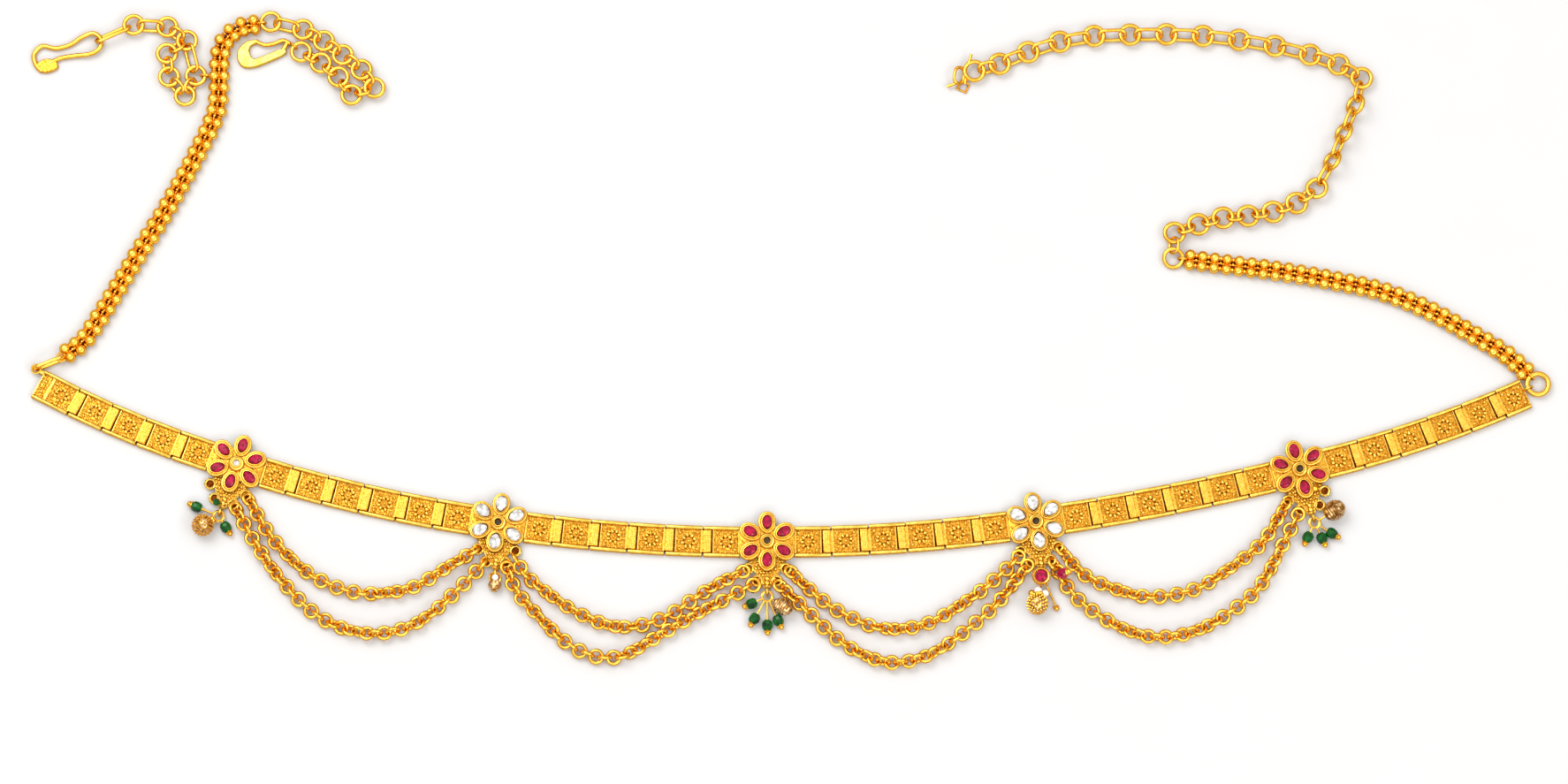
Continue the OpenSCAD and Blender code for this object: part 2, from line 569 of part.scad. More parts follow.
// Drops on the ring at a fan's tip: flower, x, y, z from its centre, kind
DROPS = [[1, -11.5, -12.8, 1.6, "green"], [1, -2.9, -18.9, 1.6, "green"], [1, -9.5, -18.7, 3.4, "ball"],
    [2, -0.9, -18.8, 1.8, "bud"],
    [3, -4.5, -18.5, 1.6, "green"], [3, -3.7, -23, 1.6, "green"], [3, 0.1, -25, 1.6, "green"],
    [3, 3.2, -23.5, 1.6, "green"], [3, 4.6, -19.8, 3.4, "shell"],
    [4, 7.7, -16.1, 5.3, "ruby"], [4, 5, -23.6, 1.2, "pin"], [4, 0.2, -24.8, 3.4, "ball"],
    [5, 2.2, -20.2, 1.6, "green"], [5, 6.3, -20.5, 1.6, "green"], [5, 9.2, -19, 1.6, "green"],
    [5, 10, -12.5, 3.4, "big shell"]];
DROP_RING_R = 1.5;
DROP_WIRE = 0.3;
PIN_R = 0.22;
BALL_R = 3.3;
CUP = [1.4, -16.7];
CUP_R = 2.6;
CUP_Z = 3.35;
function drop_ring(k) = flat(turned(FLOWER_ROWS[k - 1][2], [0, -FAN_EYE - DROP_RING_R]), EYE_Z);
function drop_place(d) = [d[1], d[2], d[3]];
// Where a drop's pin leaves its ring
function drop_start(d) = drop_ring(d[0])
    + flat(turned(heading(drop_ring(d[0]), drop_place(d)), [DROP_RING_R, 0]), 0);

// Ribbed shell along +z
module shell(l, d) {
    ribs = [for (i = [0 : 10])
        [d / 2 * sqrt(1 - pow((i - 5) / 5.4, 2)) * (i % 2 == 0 ? 0.9 : 1), l * (i - 5) / 10]];
    rotate_extrude($fn = 24) polygon(concat([[0, -l / 2]], ribs, [[0, l / 2]]));
}

// Turns +z to the line from one point to another, and moves to that other point
module along(from, to) {
    v = to - from;
    translate(to) rotate([0, acos(v[2] / norm(v)), atan2(v[1], v[0])]) children();
}

// Metal of one drop, from its ring to its tip
module drop_stem(d) {
    at = drop_place(d);
    along(drop_start(d), at) {
        reach = norm(at - drop_start(d));
        translate([0, 0, -reach]) cylinder(h = reach + (d[4] == "ball" ? 0 : 2), r = PIN_R, $fn = 24);
        if (d[4] == "green" || d[4] == "ruby" || d[4] == "pin") translate([0, 0, 2]) sphere(0.75, $fn = 20);
        if (d[4] == "ball") {
            sphere(BALL_R, $fn = 32);
            translate([0, 0, -BALL_R - 0.4]) cylinder(h = 1.2, r = 1.1, $fn = 24);
        }
        if (d[4] == "bud") shell(3.6, 3.2);
        if (d[4] == "shell") shell(6, 4.6);
        if (d[4] == "big shell") shell(6.7, 6.2);
    }
}

module drop_metal() {
    color(gold) for (k = [1 : 5]) at_flower(k) {
        translate(drop_ring(k)) wire_ring(DROP_RING_R, DROP_WIRE);
        for (d = DROPS) if (d[0] == k) drop_stem(d);
        if (k == 4) ruby_cup();
    }
}

module at_flower(k) {
    p = flower_place(k);
    translate([p[1], p[2], 0]) children();
}

// Cup above the ring of the fourth flower's drops
module ruby_cup() {
    difference() {
        translate([CUP[0], CUP[1], CUP_Z]) cylinder(h = 1.3, r = CUP_R, $fn = 32);
        translate([CUP[0], CUP[1], CUP_Z + 0.5]) cylinder(h = 3, r = CUP_R - 0.8, $fn = 32);
    }
    rod(drop_ring(4) + [0, -DROP_RING_R, 0], [CUP[0] + 0.3, CUP[1] - 1.4, CUP_Z + 0.3], 0.4);
}

// Faceted bead along +z, drilled for its pin
module faceted_bead() {
    profile = [[0.35, -1.1], [1, -1.1], [1.45, -0.45], [1.45, 0.45], [1, 1.1], [0.35, 1.1]];
    skin([for (q = profile) [for (k = [0 : 9]) [q[0] * cos(36 * k), -q[0] * sin(36 * k), q[1]]]], true);
}

module drop_beads(kind) {
    for (d = DROPS) if (d[4] == kind) at_flower(d[0]) along(drop_start(d), drop_place(d)) faceted_bead();
}

module green_beads() {
    color(green) drop_beads("green");
}

module ruby_stones() {
    color(ruby) {
        petal_stones("ruby");
        drop_beads("ruby");
        at_flower(4) translate([CUP[0], CUP[1], 0])
            cut_stone(oval_outline(3.3, 3.3, 12), CUP_Z + 0.6, CUP_Z + 1.9);
    }
}

module clear_stones() {
    color(clear) {
        petal_stones("clear");
        centre_stones();
    }
}

module rope_cores() {
    color(deep_gold) {
        core(rope_left_route);
        core(rope_right_route);
    }
}

function panel_ending(side, s, i) = s < 2 ? (i == 5 ? "tongue" : "fork") :
    side > 0 && i == 5 ? "ring" : side < 0 && i == 4 ? "plate" : "fork";

// A panel by its letter and number, counted from the left
module band_panel(letter, number) {
    column = search(letter, "abcdef")[0];
    side = column > 2 ? 1 : -1;
    s = side > 0 ? column - 3 : 2 - column;
    last = (side > 0 ? RIGHT_STRETCHES : LEFT_STRETCHES)[s][0];
    i = side > 0 ? number - 1 : last - number;
    color(gold) placed(side, s * 10 + i) panel(panel_ending(side, s, i));
}

module rope_left() {
    color(gold) {
        rope(rope_left_route, 0);
        translate(left_pairs[EYE_PAIR]) rotate(pair_turn(left_pairs, EYE_PAIR))
            translate([0, -row_gap / 2 - SIDE_EYE_OUT, 0]) rotate([0, 90, 0]) eye();
        translate(flat((left_lug + left_loop) / 2, LEFT_RING_Z)) rotate(LEFT_RING_TURN) rotate([90, 0, 0])
            wire(link_outline(LEFT_RING_L / 2 + 0.2, 1.8, 14), LEFT_RING_WIRE, 6, true);
    }
}

module rope_right() {
    color(gold) {
        rope(rope_right_route, 90);
        translate(flat(right_ring, EYE_Z)) wire_ring(ring_r, BAND_RING_WIRE);
        translate(end_ring) rotate([END_RING_ROLL, 0, 0]) wire_ring(END_RING_R, END_RING_WIRE);
    }
}

module hook_chain() {
    rows = concat(HOOK_RINGS, [concat(last_hook_ring, [0])]);
    color(gold) {
        ring_chain(rows, small_ring_r, small_wire);
        joining_link(HOOK_BEND, HOOK_BEND_R, HOOK_WIRE_R, middle(rows[0]), small_ring_r, small_wire,
            small_wire);
        joining_link(middle(rows[2]), small_ring_r, small_wire, last_hook_ring, small_ring_r, small_wire,
            small_wire);
    }
}

module side_chain() {
    rows = concat([concat(first_side_ring, [0])], SIDE_RINGS);
    color(gold) ring_chain(rows, small_ring_r, small_wire);
}

for (row = BAND)
    for (i = [1 : row[1]])
        band_panel(row[0], i);
for (k = [1 : 5])
    flower(k);
for (i = [0 : len(SWAG_NAMES) - 1])
    swag(i);
ruby_stones();
clear_stones();
rope_left();
rope_right();
rope_cores();
back_chain();
hook_chain();
side_chain();
wire_hook();
flat_hook();
drop_metal();
green_beads();
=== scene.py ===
# %% [markdown]
# # A gold-toned waist belt, laid flat
# The real belt is a band of cast panels with five stone flowers. Two chains swing under each gap,
# small drops hang from the flowers, and bead ropes lead up to a chain and two hooks.
# The lesson builds it piece by piece in millimetres, and turns each finished mesh into metres.

# %% Load the frame
from collections import namedtuple
from math import asin, atan2, cos, degrees, pi, radians, sin, sqrt
from random import Random

import bmesh
import bpy
from mathutils import Matrix, Vector


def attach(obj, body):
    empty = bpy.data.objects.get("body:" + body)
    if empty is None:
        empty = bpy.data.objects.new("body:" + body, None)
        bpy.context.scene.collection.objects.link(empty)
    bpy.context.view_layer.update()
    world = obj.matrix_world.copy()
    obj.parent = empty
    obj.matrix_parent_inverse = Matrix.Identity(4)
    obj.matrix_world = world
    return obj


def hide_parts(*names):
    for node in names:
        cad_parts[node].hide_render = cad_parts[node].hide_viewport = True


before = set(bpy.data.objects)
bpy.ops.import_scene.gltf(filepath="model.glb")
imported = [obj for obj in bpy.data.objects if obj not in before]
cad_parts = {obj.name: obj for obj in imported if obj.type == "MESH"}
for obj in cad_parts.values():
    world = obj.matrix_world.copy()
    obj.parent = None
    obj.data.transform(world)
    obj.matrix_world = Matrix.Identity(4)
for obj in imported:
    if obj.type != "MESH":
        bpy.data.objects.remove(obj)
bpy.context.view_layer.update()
scene = bpy.context.scene

# %% [markdown]
# ## Camera
# The photograph looks down on the belt from nearly overhead, from its lower edge. A long lens far away
# keeps the band's tiles the same size from one end to the other. The camera comes first, so that each
# later step can be looked at through it.

# %% Camera
MM = 0.001
CAMERA_UP = radians(76)
CAMERA_AWAY = 2.562
LOOK_AT = Vector((0.00494, 0.0456, 0))
camera_data = bpy.data.cameras.new("photo_view")
camera_data.lens = 200
camera_data.sensor_width = 36
camera_data.clip_end = 20
camera = bpy.data.objects.new("photo_view", camera_data)
scene.collection.objects.link(camera)
camera.location = LOOK_AT + CAMERA_AWAY * Vector((0, -cos(CAMERA_UP), sin(CAMERA_UP)))
camera.rotation_euler = (LOOK_AT - camera.location).to_track_quat("-Z", "Y").to_euler()
scene.camera = camera
print("camera stands at", tuple(round(v, 3) for v in camera.location))

# %% [markdown]
# ## Finishes
# Cast and plated brass is a metal, so its colour shows in what it reflects. One even colour would look
# like paint, and a picture texture would need every casting unwrapped. So each gold has a warm colour
# that wanders a little from place to place, and a fine bump where the casting is rough. The panels are
# satin, and the rings and balls are polished. Edges seen at a slant turn orange, as on the real plating.

# %% A helper for materials
def shader_of(mat):
    return mat.node_tree.nodes["Principled BSDF"]


def finish(name, base, metallic, roughness, **sockets):
    mat = bpy.data.materials.new(name)
    mat.use_nodes = True
    inputs = shader_of(mat).inputs
    inputs["Base Color"].default_value = (*base, 1)
    inputs["Metallic"].default_value = metallic
    inputs["Roughness"].default_value = roughness
    for socket, value in sockets.items():
        inputs[socket.replace("_", " ")].default_value = value
    return mat


def node(mat, kind):
    return mat.node_tree.nodes.new(kind)


def object_noise(mat, scale, detail):
    """Noise read from the piece's own place, so that it never slides."""
    place = node(mat, "ShaderNodeTexCoord")
    noise = node(mat, "ShaderNodeTexNoise")
    noise.inputs["Scale"].default_value = scale
    noise.inputs["Detail"].default_value = detail
    mat.node_tree.links.new(place.outputs["Object"], noise.inputs["Vector"])
    return noise.outputs["Fac"]


def tone_ramp(mat, factor, dark, light, low, high):
    """Colour ramp from a dark tone at low to a light tone at high."""
    made = node(mat, "ShaderNodeValToRGB")
    for end, position, tone in zip(made.color_ramp.elements, (low, high), (dark, light)):
        end.position = position
        end.color = (*tone, 1)
    mat.node_tree.links.new(factor, made.inputs["Fac"])
    return made


# %% Two patterns that the finishes share
def mottle(mat, dark, light, scale, low=0.35, high=0.65):
    """Lets the base colour wander between two tones."""
    tones = tone_ramp(mat, object_noise(mat, scale, 4), dark, light, low, high)
    mat.node_tree.links.new(tones.outputs["Color"], shader_of(mat).inputs["Base Color"])


def rough_cast(mat, scale, height, low, high):
    """Fine bump of a height in metres, and a roughness that changes with it."""
    links = mat.node_tree.links
    noise = object_noise(mat, scale, 3)
    bump = node(mat, "ShaderNodeBump")
    bump.inputs["Strength"].default_value = 0.5
    bump.inputs["Distance"].default_value = height
    spread = node(mat, "ShaderNodeMapRange")
    spread.inputs["To Min"].default_value = low
    spread.inputs["To Max"].default_value = high
    links.new(noise, bump.inputs["Height"])
    links.new(noise, spread.inputs["Value"])
    links.new(spread.outputs["Result"], shader_of(mat).inputs["Roughness"])
    links.new(bump.outputs["Normal"], shader_of(mat).inputs["Normal"])


# %% Gold finishes
WARM_EDGE = (1.0, 0.38, 0.07, 1)
satin_gold = finish("satin_gold", (0.73, 0.49, 0.08), 1.0, 0.3, Specular_Tint=WARM_EDGE)
mottle(satin_gold, (0.67, 0.41, 0.052), (0.78, 0.57, 0.12), 700)
rough_cast(satin_gold, 3000, 0.00003, 0.22, 0.36)
chain_gold = finish("chain_gold", (0.87, 0.51, 0.065), 1.0, 0.2, Specular_Tint=WARM_EDGE)
mottle(chain_gold, (0.82, 0.44, 0.045), (0.92, 0.57, 0.09), 400)
rough_cast(chain_gold, 1500, 0.00001, 0.16, 0.26)
bright_gold = finish("bright_gold", (0.87, 0.53, 0.075), 1.0, 0.2, Specular_Tint=WARM_EDGE)
mottle(bright_gold, (0.82, 0.46, 0.05), (0.91, 0.59, 0.1), 300)
rough_cast(bright_gold, 1200, 0.000008, 0.17, 0.25)
ring_gold = finish("ring_gold", (0.82, 0.48, 0.058), 1.0, 0.15, Specular_Tint=WARM_EDGE)
mottle(ring_gold, (0.76, 0.41, 0.042), (0.88, 0.55, 0.08), 300)
rough_cast(ring_gold, 1200, 0.000008, 0.1, 0.2)
# A darker gold: painted shade on sunken ground, in grooves and crevices and on the core wires. The wire
# hook's leaf takes it too
deep_gold = finish("deep_gold", (0.72, 0.36, 0.03), 1.0, 0.42)
mottle(deep_gold, (0.52, 0.21, 0.012), (0.88, 0.5, 0.06), 1500)
slot_shadow = finish("slot_shadow", (0.14, 0.028, 0.003), 1.0, 0.55)
mottle(slot_shadow, (0.07, 0.01, 0.001), (0.2, 0.048, 0.006), 900)
# The band's pieces hold these three, and a face takes the last two by their slot's number. Both are
# painted shade: the near-black one in the deepest gaps and holes, the darker gold on sunken ground,
# in grooves and in crevices
BAND_FINISHES = (satin_gold, slot_shadow, deep_gold)
SHADOW = 1
DEEP_SHADE = 2
print("gold finishes:", satin_gold.name, chain_gold.name, bright_gold.name, ring_gold.name)

# %% [markdown]
# ## Stones, beads and pearls
# The petals hold cut glass with foil behind it, so light goes a little way in and comes back. Fully clear
# glass needs many bounces of light and comes out noisy at this size. So each stone has a base colour that
# wanders from place to place under a clear coat, a painted light and shade of its facets, and only the
# clear petals let some light through.

# %% Stone finishes
# The two tones of each glass are painted light and shade of its facets
ruby_glass = finish("ruby_glass", (0.5, 0.0, 0.11), 0.0, 0.07, IOR=1.4, Specular_IOR_Level=0.3,
                    Coat_Weight=0.12, Coat_Roughness=0.03)
mottle(ruby_glass, (0.13, 0.0, 0.01), (0.45, 0.0, 0.055), 1000)
clear_glass = finish("clear_glass", (0.86, 0.87, 0.88), 0.0, 0.05, IOR=1.6, Transmission_Weight=0.2,
                     Coat_Weight=1.0, Coat_Roughness=0.02)
mottle(clear_glass, (0.36, 0.35, 0.33), (0.82, 0.82, 0.83), 900, 0.36, 0.56)
smoky_glass = finish("smoky_glass", (0.03, 0.017, 0.008), 0.0, 0.08, IOR=1.35)
mottle(smoky_glass, (0.01, 0.006, 0.003), (0.07, 0.04, 0.018), 1600)
green_glass = finish("green_glass", (0.0, 0.06, 0.018), 0.0, 0.06, IOR=1.4, Specular_IOR_Level=0.3,
                     Coat_Weight=0.12, Coat_Roughness=0.03)
mottle(green_glass, (0.0, 0.02, 0.003), (0.002, 0.11, 0.014), 700)
pearl = finish("pearl", (0.9, 0.84, 0.74), 0.0, 0.18, Coat_Weight=0.8, Coat_Roughness=0.08)
mottle(pearl, (0.78, 0.66, 0.52), (0.97, 0.94, 0.88), 500)
print("stone finishes made")

# %% [markdown]
# ## Turning a bmesh into a piece
# Every piece is modelled in millimetres where it lies. The mesh is then scaled to metres, so that the
# object itself stays at the origin, unturned. Small shapes are made once as meshes and stamped many times
# into a piece's bmesh, which is quicker than thousands of objects. Faces that meet at a small angle are
# shaded smooth.

# %% Helpers for pieces
def to_mesh(bm, name):
    bmesh.ops.recalc_face_normals(bm, faces=bm.faces[:])
    mesh = bpy.data.meshes.new(name)
    bm.to_mesh(mesh)
    bm.free()
    return mesh


def piece(name, bm, *finishes, nodes=(), slot=None, crease=38):
    """Makes a finished object from a bmesh in millimetres. crease is the sharpest smooth angle."""
    bmesh.ops.scale(bm, vec=(MM, MM, MM), verts=bm.verts[:])
    mesh = bpy.data.meshes.new(name)
    bm.to_mesh(mesh)
    bm.free()
    mesh.polygons.foreach_set("use_smooth", [True] * len(mesh.polygons))
    mesh.set_sharp_from_angle(angle=radians(crease))
    for one in finishes:
        mesh.materials.append(one)
    obj = bpy.data.objects.new(name, mesh)
    scene.collection.objects.link(obj)
    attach(obj, "root")
    if nodes:
        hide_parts(*nodes)
    return obj


def stamp(bm, mesh, place=Matrix(), material=None):
    """Adds a copy of a small mesh to bm at a place."""
    first = len(bm.verts)
    first_face = len(bm.faces)
    bm.from_mesh(mesh)
    bm.verts.ensure_lookup_table()
    bmesh.ops.transform(bm, matrix=place, verts=bm.verts[first:])
    if material is not None:
        bm.faces.ensure_lookup_table()
        for face in bm.faces[first_face:]:
            face.material_index = material


def at(x, y, z=0.0, turn=0.0):
    return Matrix.Translation((x, y, z)) @ Matrix.Rotation(radians(turn), 4, "Z")


def lean(angle, axis="X"):
    return Matrix.Rotation(radians(angle), 4, axis)


def grow(x, y=None, z=None):
    """Scales by x, y and z, or by x in every direction that isn't given."""
    return Matrix.Diagonal((x, x if y is None else y, x if z is None else z, 1))


def facing(direction):
    """Turns +z to a direction."""
    return Vector(direction).to_track_quat("Z", "Y").to_matrix().to_4x4()


# %% Small shapes that many pieces share
def ball_mesh(name, subdivisions):
    bm = bmesh.new()
    bmesh.ops.create_icosphere(bm, subdivisions=subdivisions, radius=1)
    return to_mesh(bm, name)


def ring_mesh(name, r, wire, steps=30, sides=10, straight=0.0):
    """Ring of round wire, flat. straight adds that length between its two round ends."""
    bm = bmesh.new()
    bmesh.ops.create_circle(bm, segments=sides, radius=wire, matrix=at(r, 0) @ lean(90))
    bmesh.ops.spin(bm, geom=bm.verts[:] + bm.edges[:], cent=(0, 0, 0), axis=(0, 0, 1), angle=2 * pi,
                   steps=steps, use_merge=True)
    for side in (-1, 1):
        end = [v for v in bm.verts if v.co.x * side > 0.01]
        bmesh.ops.translate(bm, vec=(side * straight / 2, 0, 0), verts=end)
    return to_mesh(bm, name)


def spun_mesh(name, profile, steps=24):
    """Solid of revolution about z from radius and height pairs."""
    bm = bmesh.new()
    line = [bm.verts.new((r, 0, z)) for r, z in profile]
    edges = [bm.edges.new(pair) for pair in zip(line, line[1:])]
    bmesh.ops.spin(bm, geom=line + edges, cent=(0, 0, 0), axis=(0, 0, 1), angle=2 * pi, steps=steps,
                   use_merge=True)
    bmesh.ops.remove_doubles(bm, verts=bm.verts[:], dist=0.0005)
    return to_mesh(bm, name)


def bm_of(mesh):
    bm = bmesh.new()
    bm.from_mesh(mesh)
    return bm


def block_mesh(name, size, soft=0.0):
    bm = bmesh.new()
    bmesh.ops.create_cube(bm, size=1)
    bmesh.ops.scale(bm, vec=size, verts=bm.verts[:])
    if soft:
        bmesh.ops.bevel(bm, geom=bm.edges[:], offset=soft, offset_type="OFFSET", segments=2, profile=0.5,
                        affect="EDGES", material=-1)
    return to_mesh(bm, name)


GRANULE = ball_mesh("granule", 1)
KNOB = ball_mesh("knob", 2)
BALL = ball_mesh("ball", 3)
print("granule has", len(GRANULE.polygons), "faces and ball", len(BALL.polygons))

# %% [markdown]
# ## Where the band runs
# The band is a row of hinged parts, each one pin further along, and it curves gently up at both ends. A
# curve modifier could bend a straight row, but it would stretch the castings. So headings are given for
# the first and last panel of each stretch, and the places follow from pin to pin, as in the solids.

# %% Places along the band
Place = namedtuple("Place", "kind x y turn ending")
BAND_W = 9.2
TILE_L = 7.8
PITCH = 11
CARRIER_L = 15.8
STRIP_GAP = 0.3
STRIP_HALF_L = 1.2
TONGUE_X = TILE_L / 2 + STRIP_GAP + STRIP_HALF_L + 0.15
PIN_X = PITCH - TONGUE_X
RAIL_REACH = PITCH - TILE_L / 2 - 0.75
CARRIER_PIN_X = CARRIER_L / 2 - 1.45
RIGHT_STRETCHES = [(6, 1, 7.5), (6, 9.5, 13.5), (6, 15.5, 24)]
LEFT_STRETCHES = [(6, -1, -7), (6, -9.5, -16.5), (5, -19, -27)]


def walk(side, stretches, turns):
    """Places of panels and flowers from the middle flower outwards."""
    pin = Vector((side * CARRIER_PIN_X, 0))
    places = []
    for s, (count, first, last) in enumerate(stretches):
        outermost = s == len(turns)
        for i in range(count):
            turn = first + (last - first) * i / (count - 1)
            ahead = side * Vector((cos(radians(turn)), sin(radians(turn))))
            ending = "fork"
            if i == count - 1:
                ending = "tongue" if not outermost else "ring" if side > 0 else "plate"
            middle = pin + TONGUE_X * ahead
            pin = middle + (TONGUE_X if ending == "tongue" else PIN_X) * ahead
            places.append(Place("panel", middle.x, middle.y, turn, ending))
        if not outermost:
            ahead = side * Vector((cos(radians(turns[s])), sin(radians(turns[s]))))
            middle = pin + CARRIER_PIN_X * ahead
            pin = middle + CARRIER_PIN_X * ahead
            places.append(Place("flower", middle.x, middle.y, turns[s], ""))
    return places


def only(kind, places):
    return [p for p in places if p.kind == kind]


right_places = walk(1, RIGHT_STRETCHES, (8.5, 14.5))
left_places = walk(-1, LEFT_STRETCHES, (-8.5, -17.5))
PANELS = [(p, -1) for p in only("panel", left_places)[::-1]] + [(p, 1) for p in only("panel", right_places)]
PANEL_NAMES = [row + str(i + 1) for row, count in zip("abcdef", (5, 6, 6, 6, 6, 6)) for i in range(count)]
FLOWERS = only("flower", left_places)[::-1] + [Place("flower", 0, 0, 0, "")] + only("flower", right_places)
print(len(PANELS), "panels, flowers at", [(round(p.x, 1), round(p.y, 1)) for p in FLOWERS])

# %% [markdown]
# ## A cast panel
# Each panel is a tile with a thin border, a granulated ground and a rosette of small balls. Two rolled
# rails run along its edges and past it, round the granulated strip of the next panel. A cube gives the
# tile: its top face is inset and pushed down. The strip is a bevelled bar with rows of granules on it.
# A bump texture would lie flat from the side, so every granule is a sphere, and a low one, as there are
# thousands of them. Five castings with their own scatter keep the row lively.

# %% The granulated strip between two tiles
STRIP_COLUMNS = 4
STRIP_ROWS = 14


def strip_mesh():
    bm = bmesh.new()
    # Bar and bed under the granules take the darker gold: painted shade between the granules
    stamp(bm, block_mesh("bar", (2.2, 6.7, 1.5), 0.16), at(0, 0, 0.95), DEEP_SHADE)
    stamp(bm, block_mesh("bed", (1.75, 6.25, 0.06)), at(0, 0, 1.7), DEEP_SHADE)
    for i in range(STRIP_ROWS):
        for j in range(STRIP_COLUMNS):
            x = 0.43 * (j - (STRIP_COLUMNS - 1) / 2)
            y = 0.44 * (i - (STRIP_ROWS - 1) / 2)
            stamp(bm, GRANULE, at(x, y, 1.74, 40 * (i + j)) @ grow(0.2, 0.24, 0.14))
    return to_mesh(bm, "strip")


STRIP = strip_mesh()
STRIP_PLACE = at(-TONGUE_X + 0.03, 0)
print("a strip has", STRIP_COLUMNS * STRIP_ROWS, "granules")

# %% Rails and granulated tiles
RAIL_R = 0.6
RAIL_Z = 1.4
TILE_H = 1.4
BORDER = 0.36
GROUND_DEPTH = 0.4
GROUND_MARGIN = 0.72
GRANULE_STEP = 0.62
GRANULE_DRIFT = 0.13


def rail_mesh(length):
    bm = bmesh.new()
    bmesh.ops.create_cone(bm, cap_ends=True, segments=16, radius1=RAIL_R, radius2=RAIL_R, depth=length,
                          matrix=lean(90, "Y"))
    rims = [e for e in bm.edges if len(e.link_faces) == 2 and any(len(f.verts) > 4 for f in e.link_faces)]
    bmesh.ops.bevel(bm, geom=rims, offset=0.18, segments=2, profile=0.5, affect="EDGES", material=-1)
    return to_mesh(bm, "rail")


def tile_into(bm, length, chance, free=0.0, z=0.0):
    """Border, sunken ground in painted shade and uneven granules of a tile. free keeps a round place for a
    rosette.
    """
    width = BAND_W - 1.3
    made = bmesh.ops.create_cube(bm, size=1, matrix=at(0, 0, z + 0.8) @ grow(length, width, TILE_H))
    top = max({f for v in made["verts"] for f in v.link_faces}, key=lambda f: f.calc_center_median().z)
    bmesh.ops.inset_region(bm, faces=[top], thickness=BORDER, depth=0)
    side = bmesh.ops.inset_region(bm, faces=[top], thickness=0.1, depth=-GROUND_DEPTH)
    # The sunken ground and its walls take the darker gold: painted shade between the granules
    for face in side["faces"] + [top]:
        face.material_index = DEEP_SHADE
    half_x = length / 2 - GROUND_MARGIN
    half_y = width / 2 - GROUND_MARGIN
    rows = round(2 * half_y / GRANULE_STEP)
    columns = round(2 * half_x / GRANULE_STEP)
    for j in range(rows + 1):
        for i in range(columns + 1):
            x = -half_x + 2 * half_x * i / columns + chance.uniform(-GRANULE_DRIFT, GRANULE_DRIFT)
            y = -half_y + 2 * half_y * j / rows + chance.uniform(-GRANULE_DRIFT, GRANULE_DRIFT)
            if x * x + y * y < free * free:
                continue
            size = chance.uniform(0.26, 0.44)
            shape = grow(size, size * chance.uniform(0.6, 1), size)
            stamp(bm, GRANULE, at(x, y, z + 1.17, chance.uniform(0, 180)) @ shape)


# %% Rosettes
ROSETTE_FREE = 2.35
ROSETTE_R = 1.78
CORNER_X = 2.6
CORNER_Y = 2.5


def rosette_into(bm, chance):
    """Uneven petals round a knob with grains of painted shade between them, and a knob near each corner."""
    start = chance.uniform(0, 45)
    petals = chance.choice((7, 8, 8, 9))
    for k in range(petals):
        turn = start + 360 * k / petals + chance.uniform(-6, 6)
        out = ROSETTE_R + chance.uniform(-0.14, 0.14)
        shape = grow(chance.uniform(0.7, 0.86), chance.uniform(0.5, 0.62), 0.6)
        grain = at(1.5, 0, 1.1) @ grow(0.42, 0.3, 0.16)
        stamp(bm, KNOB, lean(turn, "Z") @ at(out, 0, 1.32) @ shape)
        stamp(bm, GRANULE, lean(turn + 20, "Z") @ at(0.88, 0, 1.2) @ grow(0.3))
        # A flat grain in the shadow finish: painted shade between two petals
        stamp(bm, GRANULE, lean(turn + 180 / petals, "Z") @ grain, SHADOW)
    stamp(bm, KNOB, at(0, 0, 1.36) @ grow(0.5))
    for sx in (-1, 1):
        for sy in (-1, 1):
            x = sx * CORNER_X + chance.uniform(-0.15, 0.15)
            y = sy * CORNER_Y + chance.uniform(-0.15, 0.15)
            stamp(bm, KNOB, at(x, y, 1.3, chance.uniform(0, 90)) @ grow(0.56, 0.42, 0.42))


# %% One casting of the panel
PLATE_L = 3.8


def panel_mesh(seed, ending):
    chance = Random(seed)
    bm = bmesh.new()
    tile_into(bm, TILE_L, chance, ROSETTE_FREE)
    rosette_into(bm, chance)
    neck = block_mesh("neck", (1.2, 6.4, 1.0))
    stamp(bm, STRIP, STRIP_PLACE)
    # The necks take the darker gold: painted shade in the gap between tile and strip
    stamp(bm, neck, at(-TILE_L / 2 - 0.2, 0, 0.85), DEEP_SHADE)
    if ending == "tongue":
        stamp(bm, STRIP, lean(180, "Z") @ STRIP_PLACE)
        stamp(bm, neck, at(TILE_L / 2 + 0.2, 0, 0.85), DEEP_SHADE)
    low = -TILE_L / 2 - 0.1
    high = {"fork": RAIL_REACH + 0.25, "plate": TILE_L / 2 + PLATE_L}.get(ending, TILE_L / 2)
    rail = rail_mesh(high - low)
    wall = block_mesh("wall", (high - low, 1.0, 1.3), 0.08)
    for s in (-1, 1):
        stamp(bm, rail, at((low + high) / 2, s * (BAND_W / 2 - 0.58), RAIL_Z))
        stamp(bm, wall, at((low + high) / 2, s * (BAND_W / 2 - RAIL_R), 0.7))
    if ending == "fork":
        # A dark plate under the hinge gap in the shadow finish: painted shade
        slot = block_mesh("slot", (PITCH - TILE_L, BAND_W - 2, 0.3))
        stamp(bm, slot, at(PITCH / 2, 0, 0.45), SHADOW)
    return bm


CASTINGS = [to_mesh(panel_mesh(11 + k, "fork"), "casting") for k in range(5)]
print("a casting has", len(CASTINGS[0].polygons), "faces")

# %% Place the panels
EYE_R = 1.25
EYE_Z = 1.6
EYE = ring_mesh("eye", EYE_R, 0.36, 20, 8)
RIGHT_LUG = (TILE_L / 2 + EYE_R, 1)
LEFT_LUG = (TILE_L / 2 + PLATE_L + 2.6, 3.6)


